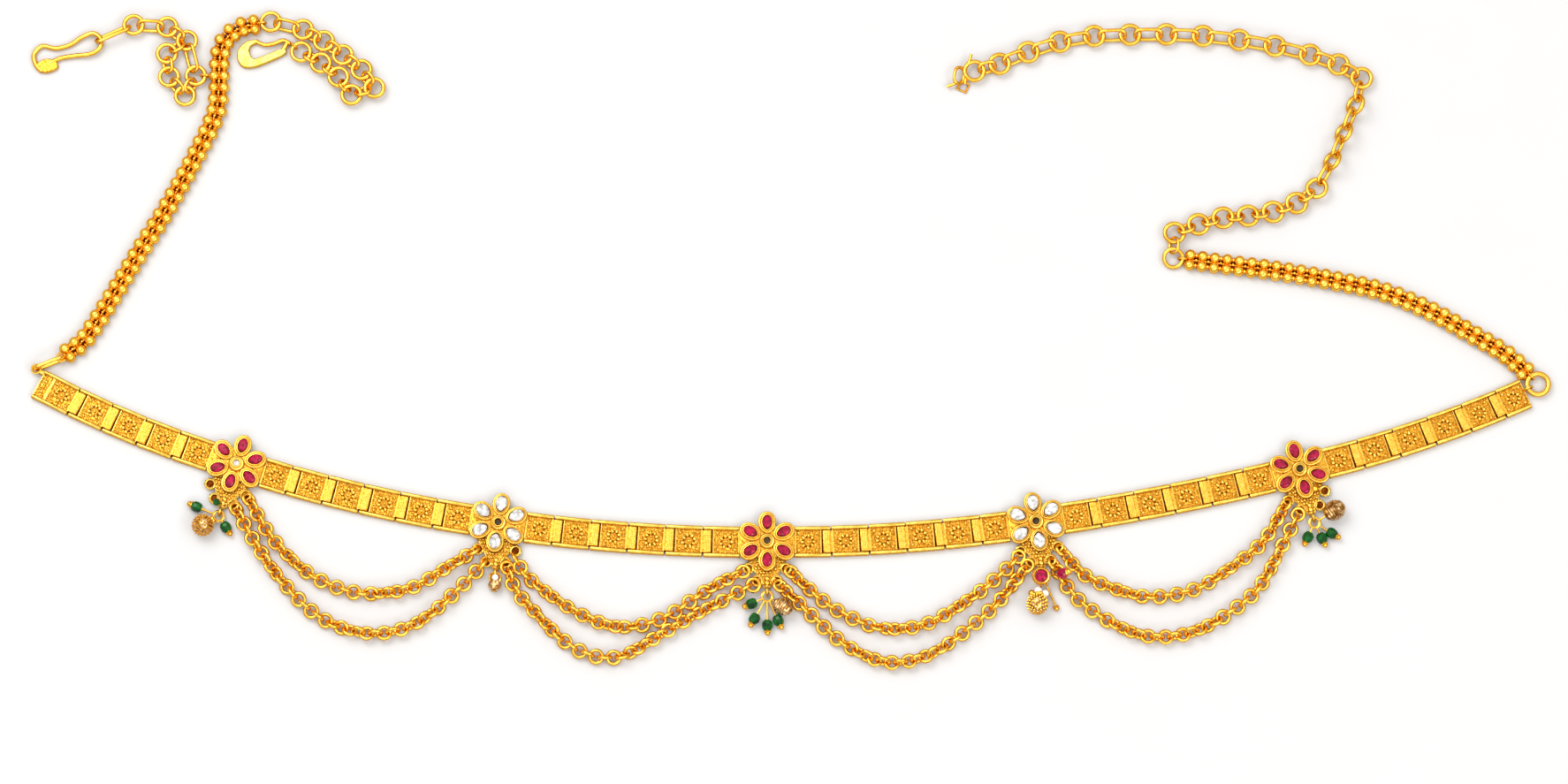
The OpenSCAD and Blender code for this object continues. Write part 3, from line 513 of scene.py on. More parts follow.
def end_plate_into(bm):
    """Half tile with three knobs at the left end, and the lug that carries its eye."""
    half = bmesh.new()
    tile_into(half, 3.6, Random(5))
    for k in (-1, 0, 1):
        stamp(half, KNOB, at(0, 1.6 * k, 1.3) @ grow(0.5, 0.6, 0.45))
    stamp(bm, to_mesh(half, "half_tile"), at(TILE_L / 2 + 1.95, 0))
    stamp(bm, EYE, at(*LEFT_LUG, EYE_Z))
    stamp(bm, block_mesh("lug", (1.9, 1.3, 1.3), 0.2), at(TILE_L / 2 + 4.4, LEFT_LUG[1], 0.95))


for number, ((place, side), name) in enumerate(zip(PANELS, PANEL_NAMES)):
    if place.ending == "fork":
        bm = bm_of(CASTINGS[3 * number % len(CASTINGS)])
    else:
        bm = panel_mesh(40 + number, place.ending)
    if place.ending == "ring":
        stamp(bm, EYE, at(*RIGHT_LUG, EYE_Z) @ lean(90))
    if place.ending == "plate":
        end_plate_into(bm)
    if side < 0:
        bmesh.ops.scale(bm, vec=(-1, 1, 1), verts=bm.verts[:])
        bmesh.ops.reverse_faces(bm, faces=bm.faces[:])
    bmesh.ops.transform(bm, matrix=at(place.x, place.y, 0, place.turn), verts=bm.verts[:])
    piece("band_" + name, bm, *BAND_FINISHES, nodes=["panel_" + name], slot="satin_gold")
print("placed", len(PANELS), "panels")

# %% [markdown]
# ## A stone flower
# Six drop-shaped settings stand round a round one on a carrier plate. A setting is a raised cup with one
# ridge at its edge and another round the stone. Wires bent to a drop could give the ridges, but they would
# cross at its tight end. So a circle is drawn out to a drop, capped, and its face is inset again and
# again, up and down, which follows the way a stepped bezel is cut. The stones are made in the same way.

# %% Drop-shaped outlines
def drop_point(t, length, width, soft):
    """Point of a drop with its tip towards -x, for t from 0 to 1. widest makes width its true width."""
    c = 1 / (2 + soft)
    widest = 2 * sqrt(c) * (1 - c) ** ((soft + 1) / 2)
    a = 2 * pi * t
    return -length / 2 * cos(a), width / 2 * sin(a) * abs(sin(a / 2)) ** soft / widest


def drop_face(bm, length, width, soft, z, segments=36):
    made = bmesh.ops.create_circle(bm, cap_ends=True, segments=segments, radius=1)
    for i, v in enumerate(made["verts"]):
        x, y = drop_point(i / segments, length, width, soft)
        v.co = (x, y, z)
    return next(iter(made["verts"][0].link_faces))


# %% Steps on a face
def lift(bm, face):
    """Extrudes a face where it is, and gives its new top."""
    made = bmesh.ops.extrude_face_region(bm, geom=[face])
    return next(g for g in made["geom"] if isinstance(g, bmesh.types.BMFace))


def inset(bm, face, thickness, rise):
    bmesh.ops.inset_region(bm, faces=[face], thickness=thickness, depth=0, use_even_offset=True)
    bmesh.ops.translate(bm, vec=(0, 0, rise), verts=face.verts[:])
    return face


def narrow(bm, face, thickness, rise):
    """Inset by a scaled copy of the outline, so that the tight end of a drop never folds over itself."""
    top = lift(bm, face)
    bmesh.ops.delete(bm, geom=[face], context="FACES_ONLY")
    xs = [v.co.x for v in top.verts]
    ys = [v.co.y for v in top.verts]
    centre = Vector(((max(xs) + min(xs)) / 2, (max(ys) + min(ys)) / 2, 0))
    shrink = (1 - 2 * thickness / (max(xs) - min(xs)), 1 - 2 * thickness / (max(ys) - min(ys)), 1)
    bmesh.ops.scale(bm, vec=shrink, space=Matrix.Translation(-centre), verts=top.verts[:])
    bmesh.ops.translate(bm, vec=(0, 0, rise), verts=top.verts[:])
    return top


def steps_up(bm, face, wall, steps, step=inset):
    """Raises a wall from a face, then steps its top inwards: thickness, rise and, where it is painted shade,
    its slot.
    """
    top = lift(bm, face)
    bmesh.ops.translate(bm, vec=(0, 0, wall), verts=top.verts[:])
    for thickness, rise, *shade in steps:
        top = step(bm, top, thickness, rise)
        if shade:
            for side in {f for edge in top.edges for f in edge.link_faces} - {top}:
                side.material_index = shade[0]
    return top


# %% Settings and cut stones
PETAL_L = 6.7
PETAL_W = 5.25
PETAL_Z = 2.15
PETAL_REACH = 8.95
STONE_Z = 2.65
GIRDLE = 0.45


def setting(name, steps):
    bm = bmesh.new()
    top = steps_up(bm, drop_face(bm, PETAL_L, PETAL_W, 0.15, PETAL_Z), 0.5, steps, narrow)
    # The seat under the stone takes the shadow finish: painted shade round the stone
    top.material_index = SHADOW
    return to_mesh(bm, name)


def cut_stone(name, outline, rise):
    """Girdle, two rows of crown facets and a table. outline is what drop_face takes."""
    bm = bmesh.new()
    crown = [(0.3 * rise, 0.35 * rise), (0.42 * rise, 0.2 * rise)]
    steps_up(bm, drop_face(bm, *outline), GIRDLE, crown, narrow)
    return to_mesh(bm, name)


# The grooves between the two ridges take the darker gold: painted shade
RUBY_SETTING = setting("ruby_setting", [
    (0.1, 0.18), (0.14, 0.1), (0.22, 0), (0.1, -0.1), (0.08, -0.12, DEEP_SHADE), (0.08, 0, DEEP_SHADE), (0.08, 0.22),
    (0.12, 0.16), (0.18, 0.02), (0.06, -0.1), (0.03, -0.4)])
CLEAR_SETTING = setting("clear_setting", [
    (0.1, 0.18), (0.14, 0.08), (0.18, 0), (0.06, -0.14, DEEP_SHADE), (0.05, 0, DEEP_SHADE), (0.08, 0.24), (0.1, 0.16),
    (0.12, 0.02), (0.05, -0.1), (0.03, -0.4)])
RUBY = cut_stone("ruby", (4.0, 2.85, 0.35, STONE_Z, 14), 0.9)
CLEAR = cut_stone("clear", (4.5, 3.4, 0.35, STONE_Z, 14), 0.9)
ROUND = cut_stone("round", (1.95, 1.95, 0, STONE_Z + 0.1, 8), 0.7)
print("a ruby has", len(RUBY.polygons), "facets")

# %% Carrier and middle of a flower
FORK_L = 3.2
FORK_X = CARRIER_L / 2 - FORK_L / 2
CARRIER_TILE_L = CARRIER_L - 3.4
FORK_GRANULES = 40
CENTRE = spun_mesh("centre", [
    (0, 1.8), (2.2, 1.8), (2.35, 2.3), (2.35, 3.0), (2.2, 3.3), (1.95, 3.42), (1.72, 3.35), (1.62, 3.1),
    (1.52, 3.1), (1.45, 3.4), (1.3, 3.65), (1.12, 3.65), (1.0, 3.4), (0.98, 2.9), (0, 2.9)])
# A dark disc under the petals, in the darker gold: painted shade in the crevices between them
CREVICE_SHADE = spun_mesh("well", [(0, 2.0), (5.2, 2.0), (5.2, 2.25), (0, 2.25)])


def carrier_mesh(seed):
    chance = Random(seed)
    bm = bmesh.new()
    stamp(bm, block_mesh("carrier", (CARRIER_TILE_L, BAND_W, 1.7), 0.2), at(0, 0, 0.85))
    tile_into(bm, CARRIER_TILE_L, chance, 4, 0.6)
    for s in (-1, 1):
        for y in (-1, 1):
            stamp(bm, rail_mesh(FORK_L), at(s * FORK_X, y * (BAND_W / 2 - RAIL_R), RAIL_Z))
        # The cover under the fork's granules takes the darker gold: painted shade between them
        stamp(bm, block_mesh("cover", (FORK_L, BAND_W - 2, 0.4), 0.1), at(s * FORK_X, 0, 2.05), DEEP_SHADE)
        for _ in range(FORK_GRANULES):
            x = s * (CARRIER_L / 2 - chance.uniform(0.4, 2.8))
            y = chance.uniform(-3.3, 3.3)
            stamp(bm, GRANULE, at(x, y, 2.3, chance.uniform(0, 90)) @ grow(chance.uniform(0.2, 0.34)))
    return to_mesh(bm, "carrier")


# %% Fan below a flower
FAN_CORNERS = [(-6.2, -4.2), (-0.8, -13.8), (0.8, -13.8), (6.2, -4.2)]
FAN_LOOPS = [(-5.5, -7.9), (5.5, -7.9), (-2.9, -11.6), (2.9, -11.6)]
FAN_EYE = 14.9
FAN_ROWS = 9
LOOP = ring_mesh("loop", 1.4, 0.38, 20, 8)
# A dark disc under each loop, in the shadow finish: painted shade seen through its opening
LOOP_SHADE = spun_mesh("hole", [(0, 0.2), (1.3, 0.2), (1.3, 0.8), (0, 0.8)], 16)


def fan_mesh(seed):
    chance = Random(seed)
    bm = bmesh.new()
    plate = bm.faces.new([bm.verts.new((x, y, 0.2)) for x, y in FAN_CORNERS])
    # The fan's sunken top takes the darker gold: painted shade between the knobs
    top = steps_up(bm, plate, 0.8, [(0.25, 0.1), (0.1, -0.1, DEEP_SHADE)])
    top.material_index = DEEP_SHADE
    for x, y in FAN_LOOPS:
        stamp(bm, LOOP_SHADE, at(x, y, 0.1), SHADOW)
        stamp(bm, LOOP, at(x, y, 1.15))
        for k in range(9):
            stamp(bm, GRANULE, at(x, y, 1.35, 40 * k) @ at(1.62, 0) @ grow(chance.uniform(0.24, 0.34)))
    for r in range(FAN_ROWS):
        y = -4.9 - 1.05 * r
        half = 0.55 * (14.2 + y)
        columns = max(1, round(half * 2 / 0.95))
        for i in range(columns + 1):
            x = (2 * i / columns - 1) * half + chance.uniform(-0.12, 0.12)
            near = min((Vector((x, y)) - Vector(loop)).length for loop in FAN_LOOPS)
            if near > 1.5:
                size = chance.uniform(0.36, 0.55)
                stamp(bm, KNOB, at(x, y + chance.uniform(-0.15, 0.15), 1.3) @ grow(size))
    for y, size in ((-11.0, 0.8), (-12.3, 0.85), (-13.5, 0.75)):
        stamp(bm, KNOB, at(0, y, 1.5) @ grow(size, size, 0.65))
    stamp(bm, EYE, at(0, -FAN_EYE, EYE_Z, -90) @ lean(90))
    return to_mesh(bm, "fan")


# %% Build the flowers
FLOWER_ROWS = [("ruby", -18, -18), ("clear", -9, -3), ("ruby", 0, 0), ("clear", 9.5, 7), ("ruby", 15, 15)]
ruby_stones = bmesh.new()
clear_stones = bmesh.new()
centre_stones = bmesh.new()
PETALS = {"ruby": (RUBY_SETTING, RUBY, ruby_stones), "clear": (CLEAR_SETTING, CLEAR, clear_stones)}
for k, (place, (kind, petal_turn, fan_turn)) in enumerate(zip(FLOWERS, FLOWER_ROWS)):
    cup, stone, stones = PETALS[kind]
    bm = bmesh.new()
    stamp(bm, carrier_mesh(70 + k), at(place.x, place.y, 0, place.turn))
    stamp(bm, fan_mesh(80 + k), at(place.x, place.y, 0, fan_turn))
    for p in range(6):
        spoke = at(place.x, place.y, 0, petal_turn + 30 + 60 * p) @ at(PETAL_REACH - PETAL_L / 2, 0)
        stamp(bm, cup, spoke)
        stamp(stones, stone, spoke @ at(0.1, 0))
    stamp(bm, CREVICE_SHADE, at(place.x, place.y), DEEP_SHADE)
    stamp(bm, CENTRE, at(place.x, place.y, 0.1))
    stamp(centre_stones if k else clear_stones, ROUND, at(place.x, place.y, 0.05, 15))
    name = "flower_setting_%d" % (k + 1)
    piece(name, bm, *BAND_FINISHES, nodes=["flower_%d" % (k + 1)], slot="satin_gold")
print("built", len(FLOWERS), "flowers")

# %% [markdown]
# ## Routes
# Swags, ropes and wires follow smooth lines through a few points on the table. Blender's own curves could
# do this, but the same curve formula as in the solids keeps every chain where the solids lie.

# %% Smooth lines through points
def bend(p, q, r, s, t):
    """Point between q and r on a smooth curve, for t from 0 to 1."""
    square = 2 * p - 5 * q + 4 * r - s
    cube = 3 * q - p - 3 * r + s
    return 0.5 * (2 * q + (r - p) * t + square * t * t + cube * t ** 3)


def smooth(route, steps=8):
    pts = [Vector(p) for p in route]
    n = len(pts)
    line = [bend(pts[max(i - 1, 0)], pts[i], pts[i + 1], pts[min(i + 2, n - 1)], k / steps)
            for i in range(n - 1) for k in range(steps)]
    return line + [pts[-1]]


def line_length(line):
    return sum((b - a).length for a, b in zip(line, line[1:]))


def spaced(route, count):
    """Points at equal steps along a route."""
    line = smooth(route)
    total = line_length(line)
    out, done, i = [], 0.0, 0
    for k in range(count):
        want = total * k / (count - 1)
        while i < len(line) - 2 and done + (line[i + 1] - line[i]).length < want:
            done += (line[i + 1] - line[i]).length
            i += 1
        step = (line[i + 1] - line[i]).length
        out.append(line[i].lerp(line[i + 1], min(1, (want - done) / step)))
    return out


def heading(a, b):
    return degrees(atan2(b[1] - a[1], b[0] - a[0]))


def line_turn(points, i):
    """Heading of a line at one of its points."""
    return heading(points[max(i - 1, 0)], points[min(i + 1, len(points) - 1)])


# %% [markdown]
# ## Swag chains
# Two strands of round links hang in each gap between the flowers. Each link stands at right angles to the
# next, and the strand twists slowly as it goes, so that flat links and upright links come and go. An array
# on a curve would give every link the same look. So one ring mesh is stamped along the route, each with
# its own small turn, and each link is lifted until it clears the table.

# %% Swag routes
SWAG_ROUTES = [
    [(-151.9, 12.7), (-144.5, 0.5), (-134, -9.5), (-123.5, -14.5), (-113, -15.5), (-103, -13.5), (-92.5, -7),
     (-86, -2.9)],
    [(-155.6, 9.9), (-151, 1.5), (-144, -9), (-133.5, -20.5), (-123.5, -26), (-113, -27.5), (-102.5, -24.5),
     (-92.5, -16.5), (-83.4, -7.1)],
    [(-73.5, -5.5), (-69, -11.5), (-56, -21), (-43.5, -25.5), (-30.5, -23), (-17.5, -14.5), (-7, -9)],
    [(-76, -7.8), (-74, -13.5), (-69, -20), (-56, -32), (-43.5, -34.5), (-30.5, -27.5), (-17.5, -20),
     (-4, -13)],
    [(7, -9), (11, -13), (21, -21), (34, -26), (47, -24.5), (60, -16.5), (68, -10), (73.5, -4.5)],
    [(3.8, -13.2), (10, -19), (21, -29.5), (34, -36), (47, -34), (60, -25), (68, -17.5), (76.1, -7.2)],
    [(86.2, -2.6), (92, -9.5), (101, -14), (112, -16.5), (124.5, -14.5), (137.5, -6.5), (145.5, 0.5),
     (151.9, 11.1)],
    [(83.9, -6.7), (90, -16.5), (101, -24.5), (112, -28.5), (124.5, -27), (137.5, -19.5), (145.5, -11),
     (155.5, 8.2)]]
swag_names = ["swag_%d_%s" % (gap, level) for gap in (1, 2, 3, 4) for level in ("upper", "lower")]
print("swags start at", [route[0] for route in SWAG_ROUTES])

# %% Lay the swag chains
LINK_STEP = 2.56
LINK_R = 1.88
LINK_WIRE = 0.58
LINK_Z = 1.75
SWAG_LINK = ring_mesh("swag_link", LINK_R, LINK_WIRE, 16, 5)
for number, (route, name) in enumerate(zip(SWAG_ROUTES, swag_names)):
    chance = Random(200 + number)
    links = spaced(route, round(line_length(smooth(route)) / LINK_STEP) + 1)
    bm = bmesh.new()
    twist = chance.uniform(0, 2 * pi)
    for i, p in enumerate(links):
        roll = 38 * sin(twist + 0.3 * i) + (45 if i % 2 else -45) + chance.uniform(-6, 6)
        z = max(LINK_Z, LINK_WIRE + 0.05 + LINK_R * abs(sin(radians(roll))))
        stamp(bm, SWAG_LINK, at(p.x, p.y, z, line_turn(links, i) + chance.uniform(-5, 5)) @ lean(roll))
    piece("chain_" + name, bm, chain_gold, nodes=[name], slot="chain_gold", crease=75)
print("laid", len(swag_names), "swag chains")

# %% [markdown]
# ## Bead ropes
# Each rope is a double row of polished balls on a core wire. Thin collars join the balls along a row, and
# a small bead shows in the dark gap between two pairs. Balls are round meshes stamped in pairs along the
# route, and every ball sits a little off its neighbour's height, so that no two catch the light alike.

# %% Rope routes and their ends
ROPE_LEFT = [
    (-152.4, 157.6), (-155.8, 157), (-159.1, 155.1), (-161.5, 151.9), (-162.5, 147.5), (-162.6, 140),
    (-163, 132), (-165, 126), (-168, 119.5), (-172.3, 110.8), (-178, 100), (-184.5, 89), (-190.5, 78.5),
    (-196.5, 68), (-201.4, 60.5)]
ROPE_RIGHT = [
    (124.7, 85.3), (138, 83.6), (152, 81.7), (166, 79.2), (181, 75.8), (194.5, 70.2), (207, 63),
    (216.8, 57)]
ROPE_STEP = 3.62
BALL_R = 1.64
ROW_GAP = 3.1
EYE_OUT = 2.2
BAND_RING_R = 3.15
LEFT_RING_L = 8.4
LEFT_RING_TURN = 22
LEFT_ROPE_TURN = 52
RIGHT_ROPE_TURN = 133


def turned(angle, x, y):
    a = radians(angle)
    return Vector((x * cos(a) - y * sin(a), x * sin(a) + y * cos(a)))


def on_plate(panel, side, x, y):
    """A place given in a panel's own frame, on the table."""
    return Vector((panel.x, panel.y)) + turned(panel.turn, side * x, y)


right_end, left_end = right_places[-1], left_places[-1]
right_lug = on_plate(right_end, 1, *RIGHT_LUG)
right_ring = right_lug + turned(right_end.turn, BAND_RING_R, 0)
left_lug = on_plate(left_end, -1, *LEFT_LUG)
left_loop = left_lug + turned(LEFT_RING_TURN, LEFT_RING_L, 0)
ROPE_RIGHT.append(tuple(right_ring + turned(RIGHT_ROPE_TURN, BAND_RING_R + EYE_OUT, 0)))
ROPE_LEFT.append(tuple(left_loop + turned(LEFT_ROPE_TURN, EYE_OUT, 0)))
print("lugs at", tuple(round(v, 1) for v in left_lug), "and", tuple(round(v, 1) for v in right_lug))

# %% Lay the balls and collars
def rope(route, end_tilt, seed):
    """Rope as a bmesh, with an eye at each end, and the places of its pairs."""
    chance = Random(seed)
    pairs = spaced(route, 2 * round((line_length(smooth(route)) / ROPE_STEP + 1) / 2))
    last = len(pairs) - 1
    bm = bmesh.new()
    collar = ring_mesh("collar", 0.55, 0.3, 10, 5)
    for i, p in enumerate(pairs):
        here = at(p.x, p.y, EYE_Z, line_turn(pairs, i))
        for s in (-1, 1):
            stamp(bm, BALL, here @ at(0, s * ROW_GAP / 2, chance.uniform(0.04, 0.12)) @ grow(BALL_R))
        if i == 0:
            stamp(bm, EYE, here @ at(-EYE_OUT, 0) @ lean(90))
        if i == last:
            stamp(bm, EYE, here @ at(EYE_OUT, 0) @ lean(end_tilt))
        if i < last:
            q = pairs[i + 1]
            gap = at((p.x + q.x) / 2, (p.y + q.y) / 2, EYE_Z, heading(p, q))
            for s in (-1, 1):
                stamp(bm, collar, gap @ at(0, s * ROW_GAP / 2) @ lean(90, "Y"))
            # A dark knob in the shadow finish under each gap: painted shade between the pairs
            stamp(bm, KNOB, gap @ at(0, 0, -0.5) @ grow(0.95, 1.1, 0.8), SHADOW)
            stamp(bm, KNOB, gap @ at(0, 0, 0.65) @ grow(0.42))
    return bm, pairs


left_rope, left_pairs = rope(ROPE_LEFT, 0, 301)
right_rope, right_pairs = rope(ROPE_RIGHT, 90, 302)
print("ropes have", len(left_pairs), "and", len(right_pairs), "pairs of balls")

# %% Rings at the ends of the ropes
EYE_PAIR = 6
HOOK_EYE_Y = -ROW_GAP / 2 - 2.65
LEFT_LINK_R = 1.8
END_RING_R = 2.75
END_RING_WIRE = 0.6
END_RING_TILT = 15
hook_eye = at(left_pairs[EYE_PAIR].x, left_pairs[EYE_PAIR].y, EYE_Z, line_turn(left_pairs, EYE_PAIR))
stamp(left_rope, EYE, hook_eye @ at(0, HOOK_EYE_Y) @ lean(90, "Y"))
middle = (left_lug + left_loop) / 2
left_link = ring_mesh("left_link", LEFT_LINK_R, 0.62, 28, 10, LEFT_RING_L + 0.4 - 2 * LEFT_LINK_R)
stamp(left_rope, left_link, at(middle.x, middle.y, 2.5, LEFT_RING_TURN) @ lean(90))
band_ring = ring_mesh("band_ring", BAND_RING_R, 0.78, 40, 14)
stamp(right_rope, band_ring, at(right_ring.x, right_ring.y, EYE_Z))
end_way = turned(heading(ROPE_RIGHT[0], ROPE_RIGHT[1]), -EYE_OUT - END_RING_R, 0)
end_ring = Vector((ROPE_RIGHT[0][0] + end_way.x, ROPE_RIGHT[0][1] + end_way.y, EYE_Z))
end_ring_mesh = ring_mesh("end_ring", END_RING_R, END_RING_WIRE, 36, 12)
stamp(right_rope, end_ring_mesh, at(*end_ring) @ lean(END_RING_TILT))
piece("bead_rope_left", left_rope, bright_gold, slot_shadow, nodes=["rope_left"], slot="polished_gold")
piece("bead_rope_right", right_rope, bright_gold, slot_shadow, nodes=["rope_right"], slot="polished_gold")
print("end ring at", tuple(round(v, 1) for v in end_ring))

# %% Core wires, as curves turned into meshes
def wire_bm(name, lines, radius):
    """Round wires along lines of points in millimetres. A curve's bevel keeps them round in every bend."""
    data = bpy.data.curves.new(name, "CURVE")
    data.dimensions = "3D"
    data.bevel_depth = radius * MM
    data.bevel_resolution = 3
    data.use_fill_caps = True
    for line in lines:
        spline = data.splines.new("POLY")
        spline.points.add(len(line) - 1)
        for point, p in zip(spline.points, line):
            point.co = (p[0] * MM, p[1] * MM, p[2] * MM, 1)
    holder = bpy.data.objects.new(name + "_line", data)
    scene.collection.objects.link(holder)
    mesh = bpy.data.meshes.new_from_object(holder.evaluated_get(bpy.context.evaluated_depsgraph_get()))
    bpy.data.objects.remove(holder)
    bm = bm_of(mesh)
    bmesh.ops.remove_doubles(bm, verts=bm.verts[:], dist=1e-7)
    bmesh.ops.recalc_face_normals(bm, faces=bm.faces[:])
    bmesh.ops.scale(bm, vec=(1 / MM,) * 3, verts=bm.verts[:])
    return bm


def wire_mesh(name, lines, radius):
    return to_mesh(wire_bm(name, lines, radius), name)


cores = [[(p.x, p.y, EYE_Z) for p in pairs] for pairs in (left_pairs, right_pairs)]
# The core wire takes the darker gold: painted shade, as it lies between the balls
piece("core_wires", wire_bm("core", cores, 0.3), deep_gold, nodes=["rope_cores"], slot="polished_gold")
print("laid", len(cores), "core wires")

# %% [markdown]
# ## Chains of rings
# The back chain and the two short chains are round rings joined by smaller links. A link between two
# near rings is round and stands up. Between rings that are pulled apart it is oblong and leans. The rings
# lie where the photograph shows them, and each link is worked out from its two rings, so that it always
# reaches through both.

# %% Places of the rings
CHAIN_RING_R = 2.85
RING_WIRE = 0.66
SMALL_RING_R = 2.75
SMALL_WIRE = 0.64
RING_Z = 2.1


def ring_rows(*places):
    """Rows of x, y, height and roll. A ring that is given by its place alone lies flat at RING_Z."""
    return [place if len(place) == 4 else (*place, RING_Z, 0) for place in places]


BACK_RINGS = ring_rows(
    (61.4, 143.2), (68.9, 145.4), (77.4, 149), (86.8, 152.2), (97, 154), (107.7, 154.4), (118.5, 154.5),
    (129.3, 154), (140, 152.8), (150.6, 150.9), (161, 148.2), (169.4, 145.2), (176.2, 141, 2.2, 0),
    (174.2, 132.5, 3, 45), (170.6, 123.9, 3, 50), (167, 115.3, 3, 50), (162.4, 107.1, 2.3, 15),
    (156.4, 102.6), (149.4, 99.9), (142, 98.7), (134.6, 98.1), (127.3, 96.1), (120.2, 93.5))
HOOK_RINGS = ring_rows(
    (-188.2, 157.4, 2.3, 0), (-178.2, 156.8), (-172.3, 152.6), (-178.2, 148.6), (-177.4, 141.4),
    (-172.6, 135.6, 2, 0))
SIDE_RINGS = ring_rows(
    (-137.9, 156), (-131.7, 152.5), (-126, 148.2), (-120.4, 143.6), (-116.5, 138), (-123.3, 135.9),
    (-127.2, 141.4), (-132.5, 145.7), (-138.4, 149.2, 1.8, 0))
print("rings placed:", len(BACK_RINGS + HOOK_RINGS + SIDE_RINGS))

# %% Links between rings
LINK_WIRE_R = 0.54
LINK_HALF_W = 1.65
LINK_GAP = 0.16
NEAR_LINK = 2


def joining_link(bm, one, other, roll=0.0, wire=LINK_WIRE_R):
    """Link between two rings, each given as its middle, its radius and its wire's radius."""
    p, q = Vector(one[0]), Vector(other[0])
    p_hole, q_hole = one[1] - one[2], other[1] - other[2]
    apart = (q - p).length
    half_span = (apart - p_hole - q_hole) / 2
    snug = half_span + wire + LINK_GAP
    near = snug < NEAR_LINK
    half_l = snug if near else snug + 0.1
    middle = p + (q - p) * ((p_hole + half_span) / apart)
    reach = middle.z - wire - 0.03
    upright = 90 if reach >= half_l else degrees(asin(reach / half_l))
    side_on = min(42, degrees(asin(min(1, reach / LINK_HALF_W))))
    tip = upright + 0.4 * roll if near else -60 if roll > 20 else side_on
    rise = -degrees(asin((q - p).z / apart))
    place = at(*middle, heading(p, q)) @ lean(rise, "Y") @ lean(tip)
    if near:
        stamp(bm, ring_mesh("near_link", half_l, wire, 24, 10), place)
    else:
        stamp(bm, ring_mesh("far_link", LINK_HALF_W, wire, 28, 10, 2 * (half_l - LINK_HALF_W)), place)


def ring_chain(bm, rows, r, wire):
    """Rings at rows of x, y, height and roll, with a link between each two."""
    ring = ring_mesh("ring", r, wire, 36, 12)
    for i, (x, y, z, roll) in enumerate(rows):
        stamp(bm, ring, at(x, y, z, line_turn(rows, i)) @ lean(roll))
    for a, b in zip(rows, rows[1:]):
        joining_link(bm, (a[:3], r, wire), (b[:3], r, wire), (a[3] + b[3]) / 2)


# %% Back chain with its tail
bm = bmesh.new()
ring_chain(bm, BACK_RINGS, CHAIN_RING_R, RING_WIRE)
tilt = radians(END_RING_TILT)
end_ring_top = end_ring + END_RING_R * Vector((0, cos(tilt) - 1, sin(tilt)))
last_ring = (BACK_RINGS[-1][:3], CHAIN_RING_R, RING_WIRE)
joining_link(bm, last_ring, (end_ring_top, END_RING_R, END_RING_WIRE), wire=0.44)
stamp(bm, ring_mesh("tail_ring", 1.7, 0.5, 28, 10, 1.6), at(56.9, 141.8, 1.95, 80) @ lean(34))
stamp(bm, ring_mesh("small_link", 1.9, 0.42, 4, 8), at(58.1, 138.8, 0.5, 20))
piece("ring_chain_back", bm, ring_gold, nodes=["back_chain"], slot="polished_gold")
tail_pins = [[(56.3, 139.6, 1.9), (55, 139.1, 1.7), (53.2, 138.6, 1.3)],
             [(59.6, 145.2, 2.4), (60.1, 146.7, 2.6), (60.5, 148.2, 2.6)],
             [(58.6, 139.4, 1.3), (58.9, 141, 1.6), (58.7, 142.4, 1.5)]]
piece("tail_pin", wire_bm("tail_pin", tail_pins, 0.45), ring_gold, slot="polished_gold")
print("back chain has", len(BACK_RINGS), "round rings")

# %% The two short chains on the left
HOOK_BEND = ((-200.5, 151.8, 2), 2.9, 0.7)
first_side = left_pairs[0] + turned(line_turn(left_pairs, 0), -EYE_OUT - SMALL_RING_R, 0)
last_hook = left_pairs[EYE_PAIR] + turned(line_turn(left_pairs, EYE_PAIR), 0, HOOK_EYE_Y - SMALL_RING_R)
hook_rows = HOOK_RINGS + [(last_hook.x, last_hook.y, 1.8, 0)]
first, third, last = [(hook_rows[i][:3], SMALL_RING_R, SMALL_WIRE) for i in (0, 2, -1)]
bm = bmesh.new()
ring_chain(bm, hook_rows, SMALL_RING_R, SMALL_WIRE)
joining_link(bm, HOOK_BEND, first, 30)
joining_link(bm, third, last)
piece("ring_chain_hook", bm, ring_gold, nodes=["hook_chain"], slot="polished_gold")
bm = bmesh.new()
ring_chain(bm, [(first_side.x, first_side.y, 1.8, 0)] + SIDE_RINGS, SMALL_RING_R, SMALL_WIRE)
piece("ring_chain_side", bm, ring_gold, nodes=["side_chain"], slot="polished_gold")
print("short chains end at", tuple(round(v, 1) for v in last_hook), tuple(round(v, 1) for v in first_side))

# %% [markdown]
# ## Hooks
# One hook is a bent wire whose ends are hammered to a leaf. The other is cast flat, smooth and with a soft
# rim. A wire is a curve with a round bevel, because a spun or extruded mesh would pinch in its bends. The
# flat parts are outlines that are raised and inset, which gives them the soft rim of a casting.

# %% Flat castings from an outline
def cast_mesh(name, corners, z, height, soft):
    """Flat casting from z up. soft is how far its rim is rounded."""
    bm = bmesh.new()
    outline = smooth(corners + [corners[0]], 4)[:-1]
    face = bm.faces.new([bm.verts.new((x, y, z)) for x, y in outline])
    face.normal_update()
    if face.normal.z < 0:
        face.normal_flip()
    steps_up(bm, face, height - soft, [(soft * 0.3, soft * 0.6), (soft * 0.5, soft * 0.4)])
    return to_mesh(bm, name)


